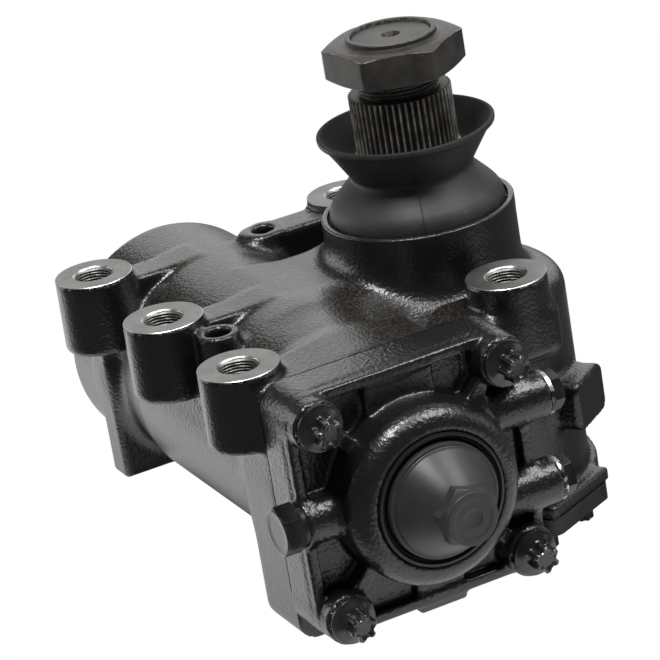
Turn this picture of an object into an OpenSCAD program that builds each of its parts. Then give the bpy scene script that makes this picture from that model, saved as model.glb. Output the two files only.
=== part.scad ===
// Recirculating-ball power steering gear for a heavy truck.
// Origin: centre of the mounting-hole rectangle, on the plane of the machined boss faces.
// +X runs along the worm towards the valve end, +Z along the sector shaft towards its nut.

/* [Mounting bosses] */
// Distance from one boss to the next along the worm
boss_pitch = 86; // [80:1:92]
// Distance between the two rows of bosses
boss_row_gap = 146; // [140:1:152]
// Outside diameter of a boss at its machined face
boss_d = 40; // [36:1:42]
// Height of the free part of a boss
boss_h = 38; // [32:1:42]
// Diameter of the tapped hole in a boss, before threading
boss_bore_d = 18.5; // [14:0.5:20]
// Depth of the tapped hole
boss_bore_depth = 32; // [24:1:40]

/* [Barrel] */
// Offset of the worm axis from the middle of the boss rows
worm_y = -15; // [-17:0.5:-13]
// Height of the worm axis below the boss faces
worm_drop = 65; // [62:0.5:68]
// Outside radius of the barrel
barrel_r = 60; // [58:0.5:64]
// Radius of the cylinder bore
bore_r = 49; // [48:0.5:50]
// Distance from the sector axis to the closed rear end
rear_reach = 140; // [134:1:150]
// Thickness of the closed rear end
rear_wall = 11; // [8:1:14]
// Distance from the sector axis to the valve housing's joint face
front_reach = 112; // [108:1:120]
// Length of the rectangular flange block behind the joint face
block_len = 42; // [36:1:46]
// Rounding of the rear edge of the barrel
rear_round = 6; // [3:0.5:10]

/* [Sector chamber] */
// Outside radius of the sector chamber
chamber_r = 68; // [66:0.5:72]
// Inside radius of the sector chamber
chamber_bore_r = 57.5; // [57:0.5:59]
// Wall of the hub round the boot's recess
hub_lip = 3; // [2:0.5:5]
// Height of the hub above the boss faces
hub_h = 15; // [10:1:20]
// Depth of the chamber's shoulder below the boss faces
shoulder_drop = 28; // [26:1:30]
// Depth of the side cover's joint face below the boss faces
cover_drop = 140; // [137:1:144]
// Radius of the flange that the side cover bolts to
cover_flange_r = 72; // [72:0.5:75]
// Thickness of the flange that the side cover bolts to
chamber_flange_t = 7; // [6:0.5:11]

/* [Gear teeth] */
// Module of the sector and rack teeth
gear_module = 6.25; // [6:0.05:6.4]
// Teeth of a full circle of the sector
full_teeth = 16; // [16:1:16]
// Teeth left on the sector
sector_teeth = 5; // [3:2:5]
// Pressure angle of the teeth in degrees
pressure_angle = 22.5; // [20:0.5:25]
// Play between the teeth, measured along the pitch line
backlash = 0.6; // [0.4:0.1:1.2]
// Width of the sector teeth along the shaft
face_w = 48; // [40:1:50]

/* [Rack piston and worm] */
// Length of the rack piston
piston_len = 136; // [130:1:140]
// Radius of the worm
worm_r = 14; // [12:0.5:16]
// Diameter of the circulating balls
ball_d = 5; // [4:0.5:6]
// Balls in one turn of the circuit
balls_per_turn = 14; // [8:1:16]
// Turns of the ball circuit
ball_turns = 3; // [2:1:4]
// Advance of the rack piston in one turn of the worm
worm_lead = 16; // [12:1:20]

/* [Sector shaft] */
// Radius of the upper journal
journal_r = 27; // [25:0.5:29]
// Radius of the lower journal
lower_journal_r = 22; // [20:0.5:24]
// Tip radius of the serration that takes the drop arm
serration_r = 26; // [24:0.5:27]
// Depth of one serration
serration_depth = 1.8; // [1:0.1:2.5]
// Number of serrations
serrations = 50; // [40:1:60]
// Height of the lower end of the serration
serration_z0 = 48; // [44:1:50]
// Height of the upper end of the serration
serration_z1 = 77; // [74:1:80]
// Radius of the thread under the nut
nut_thread_r = 19.6; // [18:0.1:21]
// Height of the underside of the nut
nut_z0 = 87; // [84:1:90]
// Thickness of the hexagon of the nut
nut_t = 17; // [14:1:20]
// Width across the flats of the nut
nut_flats = 62; // [58:1:65]
// Turn of the nut's corners about the shaft in degrees
nut_turn = 10; // [0:1:30]
// Height of the collar on top of the nut
nut_collar_h = 3; // [1:0.5:4]

/* [Dust boot] */
// Radius of the upper rim of the boot
boot_rim_r = 45; // [42:0.5:48]
// Height of the upper rim of the boot
boot_rim_z = 58; // [55:1:62]
// Radius of the waist of the boot
boot_waist_r = 31; // [30:0.5:33]
// Height of the waist of the boot
boot_waist_z = 36; // [32:1:40]
// Radius of the boot's foot
boot_foot_r = 44.5; // [42:0.5:45]
// Wall of the boot
boot_wall = 3.2; // [2.5:0.1:4]
// Room round the boot's foot in the hub's recess
boot_room = 1.5; // [1:0.1:2.5]

/* [Valve housing] */
// Distance of a valve housing bolt from the worm axis, along each side of the square
valve_bolt_offset = 49.5; // [48:0.5:51]
// Half the width of the valve housing's square
valve_half = 62; // [61:0.5:64]
// Thickness of the valve housing's floor
valve_floor = 20.5; // [16:0.5:22]
// Height of the rim round the pockets
valve_rim_h = 27; // [24:1:30]
// Thickness of the rim round the pockets
valve_rim_t = 6; // [4:0.5:8]
// Height of the bolt seats above the joint face
valve_seat_h = 36; // [32:1:40]
// Radius of a bolt seat column
valve_column_r = 14.5; // [13:0.5:16]
// Outside radius of the valve hub
valve_hub_r = 45; // [43:0.5:47]
// Rounding of the valve hub's front edge
valve_hub_round = 10; // [6:1:12]
// Radius of the port bosses
port_r = 11.5; // [10.5:0.5:13]
// Height of the port axes above the joint face
port_x = 24; // [22:1:28]
// Distance of the two right ports above and below the worm axis
port_spread = 22.5; // [20:0.5:25]
// Reach of the left port boss from the worm axis
left_port_reach = 62; // [58:1:66]
// Reach of the right port bosses from the worm axis
right_port_reach = 72; // [68:1:76]
// Width across the flats of the left port plug
left_plug_flats = 22; // [20:0.5:24]
// Width across the flats of the right port plugs
right_plug_flats = 18; // [17:0.5:19]
// Thread diameter of a port plug
plug_thread_d = 14.5; // [13:0.5:15.5]
// Length of a port plug's thread
plug_thread_len = 13; // [11:1:15]
// Height of the left port plug's hexagon
left_plug_h = 10; // [8:1:12]
// Height of the right port plugs' hexagons
right_plug_h = 6; // [5:1:9]

/* [Input end] */
// Radius of the dark seal ring round the input cap
seal_ring_r = 33; // [31:0.5:34]
// Radius of the input shaft
input_r = 11; // [10:0.5:12]
// Radius of the input cap where it meets the seal
cap_r = 28.5; // [27:0.5:30]
// Length of the input cap
cap_len = 31; // [28:1:34]
// Width across the flats of the cap's nose
cap_nose_flats = 27; // [26:0.5:29]
// Length of the hexagon of the cap's nose
cap_nose_len = 8; // [7:0.5:10]

/* [Bolts] */
// Thread diameter of the valve housing bolts
valve_bolt_d = 12; // [10:1:14]
// Height of a valve housing bolt's head
valve_bolt_head_h = 14; // [12:1:16]
// Flange radius of a valve housing bolt
bolt_flange_r = 11.5; // [11:0.5:13.5]
// Thread diameter of the side cover bolts
cover_bolt_d = 8; // [7:0.5:9]
// Number of side cover bolts
cover_bolts = 12; // [8:1:14]

/* [Side cover] */
// Thickness of the side cover
cover_t = 9; // [9:0.5:13]
// Radius of the adjuster screw
adjuster_r = 8; // [6:0.5:10]

/* [Fits] */
// Running gap between parts that move past each other
run_gap = 0.4; // [0.3:0.05:0.6]
// Radial gap of a turning journal in its bearing
journal_gap = 0.05; // [0.02:0.01:0.1]
// Gap of a part that is pressed or screwed into its seat
seat_gap = 0.02; // [0.01:0.01:0.05]

/* [Hidden] */
$fn = 64;

// Axes and planes
worm_z = -worm_drop;
sector_y = boss_row_gap / 2;
front_x = front_reach;
rear_x = -rear_reach;
cover_z = -cover_drop;
shoulder_z = -shoulder_drop;
valve_seat_x = front_x + valve_seat_h;
valve_hub_h = valve_seat_h + valve_bolt_head_h;
hub_front_x = front_x + valve_hub_h;

// Gear geometry: the rack's pitch line touches the sector's pitch circle
pitch_r = gear_module * full_teeth / 2;
tooth_pitch = PI * gear_module;
addendum = 0.9 * gear_module;
dedendum = 1.15 * gear_module;
tip_r = pitch_r + addendum;
root_r = pitch_r - dedendum;
base_r = pitch_r * cos(pressure_angle);
rack_line = sector_y - pitch_r - worm_y;
tooth_step = 360 / full_teeth;

// Sector shaft levels
gear_z0 = worm_z - face_w / 2;
gear_z1 = worm_z + face_w / 2;
nut_z1 = nut_z0 + nut_t;
shaft_top = nut_z1 + nut_collar_h - 1.5;
journal_top = serration_z0 - 2;
serration_root_r = serration_r - serration_depth;

// Bearings and seals
bearing_t = 7;
bearing_r = journal_r + bearing_t;
upper_bearing_z0 = gear_z1 + 8;
upper_bearing_h = 34;
recess_r = boot_foot_r + boot_room;
hub_r = recess_r + hub_lip;
recess_depth = 3;
lower_bearing_t = 6;
lower_bearing_r = lower_journal_r + lower_bearing_t;
lower_bearing_h = 26;
lower_bearing_z0 = cover_z + 4;
cover_boss_r = lower_bearing_r + 8;
cover_spigot_h = 8;
spigot_r = chamber_bore_r - 0.1;
cover_seal_z = cover_z + 2;
cover_seal_w = 3.5;
cover_seal_inner = spigot_r - 3;
joint_seal_inner = bore_r + 2;
joint_seal_outer = bore_r + 6;
joint_seal_t = 2.5;
lower_end_z = lower_bearing_z0 + 1;

// Piston and worm
piston_r = bore_r - run_gap;
ball_r = ball_d / 2;
ball_gap = 0.25;
ball_path_r = worm_r + ball_r + ball_gap;
piston_bore_r = ball_path_r + ball_r + ball_gap;
rack_teeth = sector_teeth + 1;
rack_len = (rack_teeth + 0.1) * tooth_pitch;
ring_w = 6;
ring_depth = 4;
ring_x = -piston_len / 2 + 8;
worm_x0 = -piston_len / 2 - 8;
worm_head_x = front_x + 2;
worm_head_r = 22;
worm_head_len = 8;

// Valve and input end
valve_bore_r = 30;
sleeve_r = valve_bore_r - 0.1;
sleeve_x0 = worm_head_x + worm_head_len;
sleeve_len = 22;
seal_len = 6;
seal_x = hub_front_x - seal_len - 2;
port_depth = plug_thread_len + 5;
input_bearing_len = 8;
input_bearing_x = seal_x - input_bearing_len;
input_bearing_r = 24;
input_x0 = sleeve_x0 + 4;
input_tip = hub_front_x + cap_len - 8;
torsion_r = 4;
cap_nose_turn = 45;
torsion_x0 = worm_x0 + 40;

// Bolts: those of the valve housing end short of the mounting hole behind the joint
bolt_wall = 2.5;
bolt_tip_room = 0.5;
valve_bolt_bite = front_x - boss_pitch - boss_bore_d / 2 - bolt_wall;
valve_bolt_len = valve_seat_h + valve_bolt_bite - bolt_tip_room;
cover_bolt_circle = chamber_bore_r + 7.5;
cover_bolt_len = cover_t + chamber_flange_t - 1.5;
cover_pad_h = 4;
cover_bolt_turn = 12;
cover_foot_turn = 27;
cover_foot_reach = cover_flange_r + 3.5;
cover_foot_w = 52;

function unit(v) = v / norm(v);
// Points of an arc about a centre
function arc(c, r, a0, a1, n = 8) =
    [for (i = [0:n]) let (a = a0 + (a1 - a0) * i / n) c + r * [cos(a), sin(a)]];
// Smallest signed turn from one angle to another
function turn(a, b) = let (d = b - a) d > 180 ? d - 360 : d < -180 ? d + 360 : d;
// A polygon corner at p, between its neighbours, replaced by an arc of radius r
function corner(before, p, after, r) =
    let (u = unit(before - p), w = unit(after - p), half = acos(u * w) / 2,
         c = p + unit(u + w) * r / sin(half), s = p + u * r / tan(half) - c, e = p + w * r / tan(half) - c,
         a = atan2(s[1], s[0]))
    arc(c, r, a, a + turn(a, atan2(e[1], e[0])), 6);
// An outline with each corner rounded by its own radius: points are [x, y, radius]
function rounded(points) =
    let (n = len(points), p = [for (q = points) [q[0], q[1]]])
    [for (i = [0:n - 1]) each points[i][2] > 0
        ? corner(p[(i + n - 1) % n], p[i], p[(i + 1) % n], points[i][2]) : [p[i]]];

// Places a shape drawn along Z on the worm axis, pointing to +X
module on_worm(x) { translate([x, worm_y, worm_z]) rotate([0, 90, 0]) children(); }
// Extrudes an outline drawn about the worm axis, its x to +Y and its y to +Z
module worm_outline(x, length) {
    translate([x, worm_y, worm_z]) rotate([90, 0, 90]) linear_extrude(length) children();
}
module on_sector(z) { translate([0, sector_y, z]) children(); }
// Turns a shape drawn along Z to +Y, at a place given about the worm axis
module on_port(y, z) { translate([front_x + port_x, worm_y + y, worm_z + z]) rotate([-90, 0, 0]) children(); }
module hexagon(flats) { circle(d = flats / cos(30), $fn = 6); }
module ring(outer, inner, h) {
    difference() {
        cylinder(r = outer, h = h);
        translate([0, 0, -1]) cylinder(r = inner, h = h + 2);
    }
}
// A hexagon nut blank with turned corners on both faces
module chamfered_hexagon(flats, h) {
    corner_r = flats / 2 / cos(30);
    drop = 0.45 * (corner_r - flats / 2);
    intersection() {
        linear_extrude(h) hexagon(flats);
        rotate_extrude() polygon([[0, 0], [flats / 2 - 0.5, 0], [corner_r + 0.1, drop + 0.3],
            [corner_r + 0.1, h - drop - 0.3], [flats / 2 - 0.5, h], [0, h]]);
    }
}

// The rectangle of mounting bosses, and the extra one in the middle of the left row
boss_places = [[-boss_pitch, -boss_row_gap / 2], [0, -boss_row_gap / 2], [boss_pitch, -boss_row_gap / 2],
    [boss_pitch, boss_row_gap / 2], [-boss_pitch, boss_row_gap / 2]];
rib_drop = 6;
rib_w = 24;
rib_root = 30;
rear_rib_w = 18;
small_boss_x = boss_pitch * 0.32;
small_boss_y = worm_y - 42;
small_boss_r = 10.8;
small_hole_r = 6.2;
small_hole_depth = 16;
small_boss_h = 35;
small_boss_top = -5;
ear_x = -boss_pitch + 5;
ear_y = worm_y + 36.5;
ear_r = 11;
ear_hole_r = 5.8;
ear_top = -4;
ear_h = 60;
foot_x0 = -boss_pitch - 23;
foot_t = 18;
foot_flare = 24;
block_left = valve_half - 1;
block_bottom = 71;
block_top = 58.5;
block_right = 64;
boss_draft = 0.8;
boss_edge = 2.5;

function bolt_square(a) = [for (y = [-1, 1], z = [-1, 1]) [y * a, z * a]];
// Places a shape at each side cover bolt, in the flat or in space
module cover_bolt_places() {
    for (i = [0:cover_bolts - 1]) rotate(cover_bolt_turn + i * 360 / cover_bolts)
        translate([cover_bolt_circle, 0, 0]) children();
}
// Outline of the side cover and of the flange above it: a disc with a straight foot on one side
module cover_outline() {
    circle(r = cover_flange_r);
    half = cover_foot_w / 2;
    rotate(cover_foot_turn) polygon(rounded([[0, -half, 0], [cover_foot_reach, -half, 6],
        [cover_foot_reach, half, 6], [0, half, 0]]));
}

// Barrel with a rounded, closed rear end
module barrel_form() {
    on_worm(rear_x) rotate_extrude() polygon(concat([[0, 0]],
        arc([barrel_r - rear_round, rear_round], rear_round, -90, 0, 6),
        [[barrel_r, front_x - rear_x - 1], [0, front_x - rear_x - 1]]));
}
// Flange block behind the valve housing
module block_form() {
    worm_outline(front_x - block_len, block_len) polygon(rounded([
        [-block_left, -block_bottom, 10], [valve_half, -block_bottom, 14], [block_right, 30, 10],
        [block_right - 14, block_top, 12], [-block_left, block_top, 16]]));
}
// Sector chamber, its flange for the side cover, its shoulder and the hub above it
module chamber_form() {
    round_r = 10;
    fillet = min(9, chamber_r - round_r - hub_r);
    on_sector(cover_z) linear_extrude(chamber_flange_t) cover_outline();
    on_sector(0) rotate_extrude() polygon(concat([[0, cover_z + 1], [chamber_r - 4, cover_z + 1],
        [chamber_r - 4, cover_z + chamber_flange_t], [chamber_r, cover_z + chamber_flange_t + 4]],
        arc([chamber_r - round_r, shoulder_z - round_r], round_r, 0, 80, 6),
        arc([hub_r + fillet, shoulder_z + fillet], fillet, 260, 180, 6),
        [[hub_r, hub_h - 1], [hub_r - 1, hub_h], [0, hub_h]]));
}
// Cast bosses with a slight draft and a rounded foot
module boss_form(p) {
    foot_r = boss_d / 2 + boss_draft;
    translate([p[0], p[1], -boss_h]) rotate_extrude() polygon(concat([[0, 0]],
        arc([foot_r - boss_edge, boss_edge], boss_edge, -90, 0, 4), [[boss_d / 2, boss_h], [0, boss_h]]));
}
// Flat-topped rib from a boss of the left row to the crown of the barrel
module boss_rib(x) {
    edge = 4;
    translate([x, -boss_row_gap / 2, 0]) rotate([-90, 0, 0]) linear_extrude(boss_row_gap / 2 + worm_y)
        polygon(rounded([[-rib_w / 2, rib_root, 0], [-rib_w / 2, rib_drop, edge], [rib_w / 2, rib_drop, edge],
            [rib_w / 2, rib_root, 0]]));
}
// Foot plate under the rear left boss, flared into the barrel
module foot_form() {
    foot_left = -boss_row_gap / 2 - 2;
    foot_bottom = worm_z - 53;
    intersection() {
        on_worm(foot_x0) rotate_extrude() polygon(concat([[0, 0], [barrel_r + foot_flare + 20, 0],
            [barrel_r + foot_flare + 20, foot_t]],
            arc([barrel_r + foot_flare, foot_t + foot_flare], foot_flare, 270, 180, 8),
            [[0, foot_t + foot_flare]]));
        translate([foot_x0 - 1, foot_left, foot_bottom])
            cube([foot_t + foot_flare + 2, worm_y - foot_left - 10, worm_z + rib_root - foot_bottom]);
    }
}
// Column that carries the right front boss, flat towards the valve housing
module right_column() {
    column_z0 = -45;
    column_z1 = -13;
    flat_x = boss_pitch + boss_d / 2 - 2;
    back_x = boss_pitch - 26;
    left_y = sector_y - 34;
    right_y = sector_y + boss_d / 2;
    translate([0, 0, column_z0]) linear_extrude(column_z1 - column_z0)
        polygon(rounded([[back_x, left_y, 0], [flat_x, left_y, 0], [flat_x, right_y, 3],
            [back_x, right_y, 0]]));
}
// Web and ear that carry the right rear boss
module rear_web() {
    half = rear_rib_w / 2;
    web_bottom = -62;
    web_top = -14;
    ear_bottom = -40;
    ledge_top = -13;
    plate_t = 12;
    plate_len = 16;
    translate([-boss_pitch, sector_y - half, web_bottom])
        cube([boss_pitch, rear_rib_w, web_top - web_bottom]);
    translate([ear_x - ear_r, ear_y, ear_bottom]) cube([2 * ear_r, sector_y - ear_y, ledge_top - ear_bottom]);
    translate([ear_x, ear_y, ear_bottom]) cylinder(r = ear_r, h = ear_top - ear_bottom);
    translate([ear_x - ear_r, ear_y, ear_top - plate_t]) cube([2 * ear_r, plate_len, plate_t]);
}
// Saddle between the barrel's crown and the hub
module saddle() {
    saddle_x0 = -44;
    saddle_x1 = 34;
    saddle_top = -7;
    saddle_h = 53;
    translate([saddle_x0, worm_y, saddle_top - saddle_h])
        cube([saddle_x1 - saddle_x0, sector_y - worm_y, saddle_h]);
}
// Flat pad with rounded corners on the front right of the chamber
module side_pad() {
    pad_turn = 37;
    pad_w = 34;
    pad_reach = chamber_r + 13;
    pad_z0 = -101;
    pad_z1 = -75;
    round_r = 6;
    on_sector(0) rotate([0, 0, pad_turn]) translate([chamber_r / 2, 0, 0]) rotate([90, 0, 90])
        linear_extrude(pad_reach - chamber_r / 2) polygon(rounded([[-pad_w / 2, pad_z0, round_r],
            [pad_w / 2, pad_z0, round_r], [pad_w / 2, pad_z1, round_r], [-pad_w / 2, pad_z1, round_r]]));
}
module main_housing() {
    color("#2b2b2c") difference() {
        union() {
            barrel_form();
            block_form();
            chamber_form();
            for (p = boss_places) boss_form(p);
            for (x = [-boss_pitch, 0]) boss_rib(x);
            foot_form();
            right_column();
            rear_web();
            saddle();
            side_pad();
            translate([small_boss_x, small_boss_y, small_boss_top - small_boss_h])
                cylinder(r = small_boss_r, h = small_boss_h);
        }
        // Cylinder bore, open at the joint face
        on_worm(rear_x + rear_wall) cylinder(r = bore_r, h = rear_reach + front_x);
        // Sector chamber, bearing bore, seal bore and the recess under the boot
        on_sector(cover_z - 1) cylinder(r = chamber_bore_r, h = gear_z1 + 2 - cover_z + 1);
        on_sector(cover_z) cylinder(r = bearing_r, h = hub_h - cover_z + 1);
        on_sector(hub_h - recess_depth) cylinder(r = recess_r, h = recess_depth + 1);
        for (p = boss_places) translate([p[0], p[1], -boss_bore_depth])
            cylinder(d = boss_bore_d, h = boss_bore_depth + 1);
        translate([small_boss_x, small_boss_y, small_boss_top - small_hole_depth])
            cylinder(r = small_hole_r, h = small_hole_depth + 1);
        translate([ear_x, ear_y, ear_top - ear_h - 1]) cylinder(r = ear_hole_r, h = ear_h + 2);
        for (p = bolt_square(valve_bolt_offset))
            on_worm(front_x - valve_bolt_bite) translate([-p[1], p[0], 0])
                cylinder(d = valve_bolt_d + 2 * seat_gap, h = valve_bolt_bite + 1);
        on_sector(cover_z - 1) cover_bolt_places()
            cylinder(d = cover_bolt_d + 2 * seat_gap, h = chamber_flange_t);
    }
}

// Outline of the valve housing about the worm axis, shrunk by an inset
module valve_square(inset) {
    half = valve_half - inset;
    round_r = max(valve_column_r - inset, 3);
    polygon(rounded([[-half, -half, round_r], [half, -half, round_r], [half, half, round_r],
        [-half, half, round_r]]));
}
// Hub with a rounded front edge
module valve_hub() {
    on_worm(front_x) rotate_extrude() polygon(concat([[0, 0], [valve_hub_r, 0]],
        arc([valve_hub_r - valve_hub_round, valve_hub_h - valve_hub_round], valve_hub_round, 0, 90, 8),
        [[0, valve_hub_h]]));
}
// Webs from the hub to the bolt columns, and the blocks above and below the hub
module valve_webs() {
    web_t = 7;
    web_h = valve_rim_h - 3;
    block_w = 39;
    lower_block_w = 26;
    lower_shift = 4;
    reach = valve_half - valve_rim_t / 2;
    for (a = [45:90:315]) worm_outline(front_x, web_h) rotate(a) translate([0, -web_t / 2])
        square([valve_bolt_offset * sqrt(2), web_t]);
    worm_outline(front_x, valve_rim_h) translate([-block_w / 2, 0]) square([block_w, reach]);
    worm_outline(front_x, valve_rim_h) translate([lower_shift - lower_block_w / 2, -valve_half - lower_shift])
        square([lower_block_w, valve_half]);
}
module valve_housing() {
    color("#262627") difference() {
        union() {
            worm_outline(front_x, valve_floor) valve_square(0);
            difference() {
                worm_outline(front_x, valve_rim_h) valve_square(0);
                worm_outline(front_x - 1, valve_rim_h + 2) valve_square(valve_rim_t);
            }
            for (p = bolt_square(valve_bolt_offset)) on_worm(front_x) translate([-p[1], p[0], 0])
                cylinder(r = valve_column_r, h = valve_seat_h);
            valve_hub();
            valve_webs();
            on_port(-left_port_reach, 0) cylinder(r = port_r, h = left_port_reach);
            for (z = [-port_spread, port_spread]) on_port(0, z) cylinder(r = port_r, h = right_port_reach);
        }
        // Stepped bore for the valve sleeve, the bearing and the seal
        on_worm(front_x - 1) cylinder(r = valve_bore_r, h = input_bearing_x - front_x + 1);
        on_worm(front_x) cylinder(r = input_bearing_r, h = valve_hub_h);
        on_worm(seal_x) cylinder(r = seal_ring_r, h = valve_hub_h);
        // Groove for the joint seal
        on_worm(front_x - 1) ring(joint_seal_outer, joint_seal_inner, joint_seal_t + 1);
        for (p = bolt_square(valve_bolt_offset)) on_worm(front_x - 1) translate([-p[1], p[0], 0])
            cylinder(d = valve_bolt_d + 1, h = valve_seat_h + 2);
        // Oil ports
        on_port(-left_port_reach - 1, 0) cylinder(d = plug_thread_d, h = port_depth + 1);
        for (z = [-port_spread, port_spread]) on_port(right_port_reach - port_depth, z)
            cylinder(d = plug_thread_d, h = port_depth + 1);
    }
}
// External star head on a round flange, drawn along Z from the seat
module star_bolt(d, length, flange_r, head_h) {
    flange_h = 2.5;
    skirt_h = 3.5;
    star_r = flange_r * 0.58;
    lobes = 6;
    cylinder(r = flange_r, h = flange_h);
    translate([0, 0, flange_h]) cylinder(r1 = flange_r - 0.5, r2 = star_r, h = skirt_h);
    linear_extrude(head_h) difference() {
        circle(r = star_r);
        for (i = [0:lobes - 1]) rotate((i + 0.5) * 360 / lobes) translate([star_r * 1.08, 0])
            circle(r = star_r * 0.3);
    }
    translate([0, 0, -length]) cylinder(d = d, h = length + 1);
}
module valve_housing_bolts() {
    color("#1d1d1f") for (p = bolt_square(valve_bolt_offset))
        on_worm(valve_seat_x) translate([-p[1], p[0], 0])
            star_bolt(valve_bolt_d, valve_bolt_len, bolt_flange_r, valve_bolt_head_h);
}
module valve_housing_seal() {
    color("#121212") on_worm(front_x)
        ring(joint_seal_outer - seat_gap, joint_seal_inner + seat_gap, joint_seal_t - seat_gap);
}
module side_cover() {
    adjuster_seat_z = cover_z - cover_t - cover_pad_h;
    color("#2b2b2c") difference() {
        union() {
            on_sector(cover_z - cover_t) linear_extrude(cover_t) cover_outline();
            on_sector(cover_z - 1) cylinder(r = spigot_r, h = cover_spigot_h + 1);
            on_sector(cover_z - 1)
                cylinder(r = cover_boss_r, h = lower_bearing_z0 + lower_bearing_h - cover_z + 1);
            on_sector(adjuster_seat_z)
                cylinder(r1 = 2 * adjuster_r, r2 = 2.5 * adjuster_r, h = cover_pad_h + 2);
        }
        on_sector(lower_bearing_z0) cylinder(r = lower_bearing_r, h = lower_bearing_h + 1);
        on_sector(adjuster_seat_z - 1)
            cylinder(r = adjuster_r + seat_gap, h = lower_bearing_z0 - adjuster_seat_z + 2);
        // Groove for the seal on the spigot
        on_sector(cover_seal_z) ring(spigot_r + 1, cover_seal_inner, cover_seal_w);
        on_sector(cover_z - cover_t - 1) cover_bolt_places() cylinder(d = cover_bolt_d + 1, h = cover_t + 2);
    }
}
module side_cover_bolts() {
    color("#1d1d1f") on_sector(cover_z - cover_t) cover_bolt_places() rotate([180, 0, 0])
        star_bolt(cover_bolt_d, cover_bolt_len, cover_bolt_d, cover_bolt_d + 3);
}
module side_cover_seal() {
    color("#121212") on_sector(cover_seal_z + seat_gap)
        ring(chamber_bore_r - seat_gap, cover_seal_inner + seat_gap, cover_seal_w - 2 * seat_gap);
}
adjuster_tip = cover_z - cover_t - cover_pad_h - adjuster_r;
adjuster_head_z = lower_end_z + 2;
module adjuster_screw() {
    color("#6f6f70") {
        on_sector(adjuster_tip) cylinder(r = adjuster_r, h = lower_bearing_z0 - adjuster_tip + 2);
        on_sector(adjuster_tip + 0.5) rotate([0, 0, 20]) translate([0, 0, -3]) linear_extrude(4) hexagon(9);
    }
}
module adjuster_lock_nut() {
    lock_h = adjuster_r;
    lock_flats = 3.75 * adjuster_r;
    lock_z = cover_z - cover_t - cover_pad_h - lock_h;
    color("#6f6f70") difference() {
        on_sector(lock_z) chamfered_hexagon(lock_flats, lock_h);
        on_sector(lock_z - 1) cylinder(r = adjuster_r + seat_gap, h = lock_h + 2);
    }
}
washer_t = 2;
// Screwed plug along Z: thread below the seat, washer room, then its hexagon
module port_plug(flats, h) {
    translate([0, 0, -plug_thread_len])
        cylinder(d = plug_thread_d - 2 * seat_gap, h = plug_thread_len + washer_t);
    translate([0, 0, washer_t]) chamfered_hexagon(flats, h);
}
module left_port_plug() {
    color("#3a3a3c") on_port(-left_port_reach, 0) rotate([180, 0, 0])
        port_plug(left_plug_flats, left_plug_h);
}
module right_port_plugs() {
    color("#3a3a3c") for (z = [-port_spread, port_spread])
        on_port(right_port_reach, z) port_plug(right_plug_flats, right_plug_h);
}
module port_washers() {
    bore = plug_thread_d / 2 + seat_gap;
    color("#b5b5b8") {
        on_port(-left_port_reach - washer_t, 0) ring(port_r - 0.5, bore, washer_t);
        for (z = [-port_spread, port_spread]) on_port(right_port_reach, z) ring(port_r - 0.5, bore, washer_t);
    }
}
module upper_sector_bearing() {
    color("#9a9a9c") on_sector(upper_bearing_z0)
        ring(bearing_r - seat_gap, journal_r + journal_gap, upper_bearing_h);
}
module lower_sector_bearing() {
    color("#9a9a9c") on_sector(lower_bearing_z0)
        ring(lower_bearing_r - seat_gap, lower_journal_r + journal_gap, lower_bearing_h);
}
module sector_shaft_seal() {
    seal_z = upper_bearing_z0 + upper_bearing_h;
    color("#161616") on_sector(seal_z)
        ring(bearing_r - seat_gap, journal_r + journal_gap, hub_h - recess_depth - seal_z);
}
module worm_bearing() {
    color("#9a9a9c") on_worm(worm_head_x)
        ring(valve_bore_r - seat_gap, worm_head_r + journal_gap, worm_head_len);
}
module input_bearing() {
    color("#9a9a9c") on_worm(input_bearing_x)
        ring(input_bearing_r - seat_gap, input_r + journal_gap, input_bearing_len);
}
module input_seal() {
    color("#161616") on_worm(seal_x) ring(seal_ring_r - seat_gap, input_r + journal_gap, seal_len);
}

// Flank of an involute tooth: point at roll angle t in degrees
function involute(t) = base_r * [cos(t) + t * PI / 180 * sin(t), sin(t) - t * PI / 180 * cos(t)];
function roll_to(r) = sqrt(max(r * r / base_r / base_r - 1, 0)) * 180 / PI;
function polar_angle(p) = atan2(p[1], p[0]);
flank_steps = 6;
half_tooth = (tooth_pitch / 2 - backlash / 2) / pitch_r * 90 / PI;
flank_shift = half_tooth + polar_angle(involute(roll_to(pitch_r)));
// One flank from the base circle to the tip, as radius and angle from the tooth's middle
function flank(i) =
    let (p = involute(roll_to(tip_r) * i / flank_steps)) [norm(p), flank_shift - polar_angle(p)];
function on_circle(r, a) = r * [cos(a), sin(a)];
function turned(p, a) = [p[0] * cos(a) - p[1] * sin(a), p[0] * sin(a) + p[1] * cos(a)];
function tooth_outline() = concat(
    [on_circle(root_r - 1, -tooth_step * 0.42), on_circle(root_r, -flank(0)[1])],
    [for (i = [0:flank_steps]) on_circle(flank(i)[0], -flank(i)[1])],
    [for (i = [flank_steps:-1:0]) on_circle(flank(i)[0], flank(i)[1])],
    [on_circle(root_r, flank(0)[1]), on_circle(root_r - 1, tooth_step * 0.42)]);
module sector_gear() {
    half_teeth = (sector_teeth - 1) / 2;
    rotate(-90) {
        circle(r = journal_r + 4);
        polygon(concat([[0, 0]],
            [for (k = [-half_teeth:half_teeth], p = tooth_outline()) turned(p, k * tooth_step)]));
    }
}
module serration() {
    polygon([for (i = [0:2 * serrations - 1])
        on_circle(i % 2 == 0 ? serration_r : serration_root_r, i * 180 / serrations)]);
}
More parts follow.
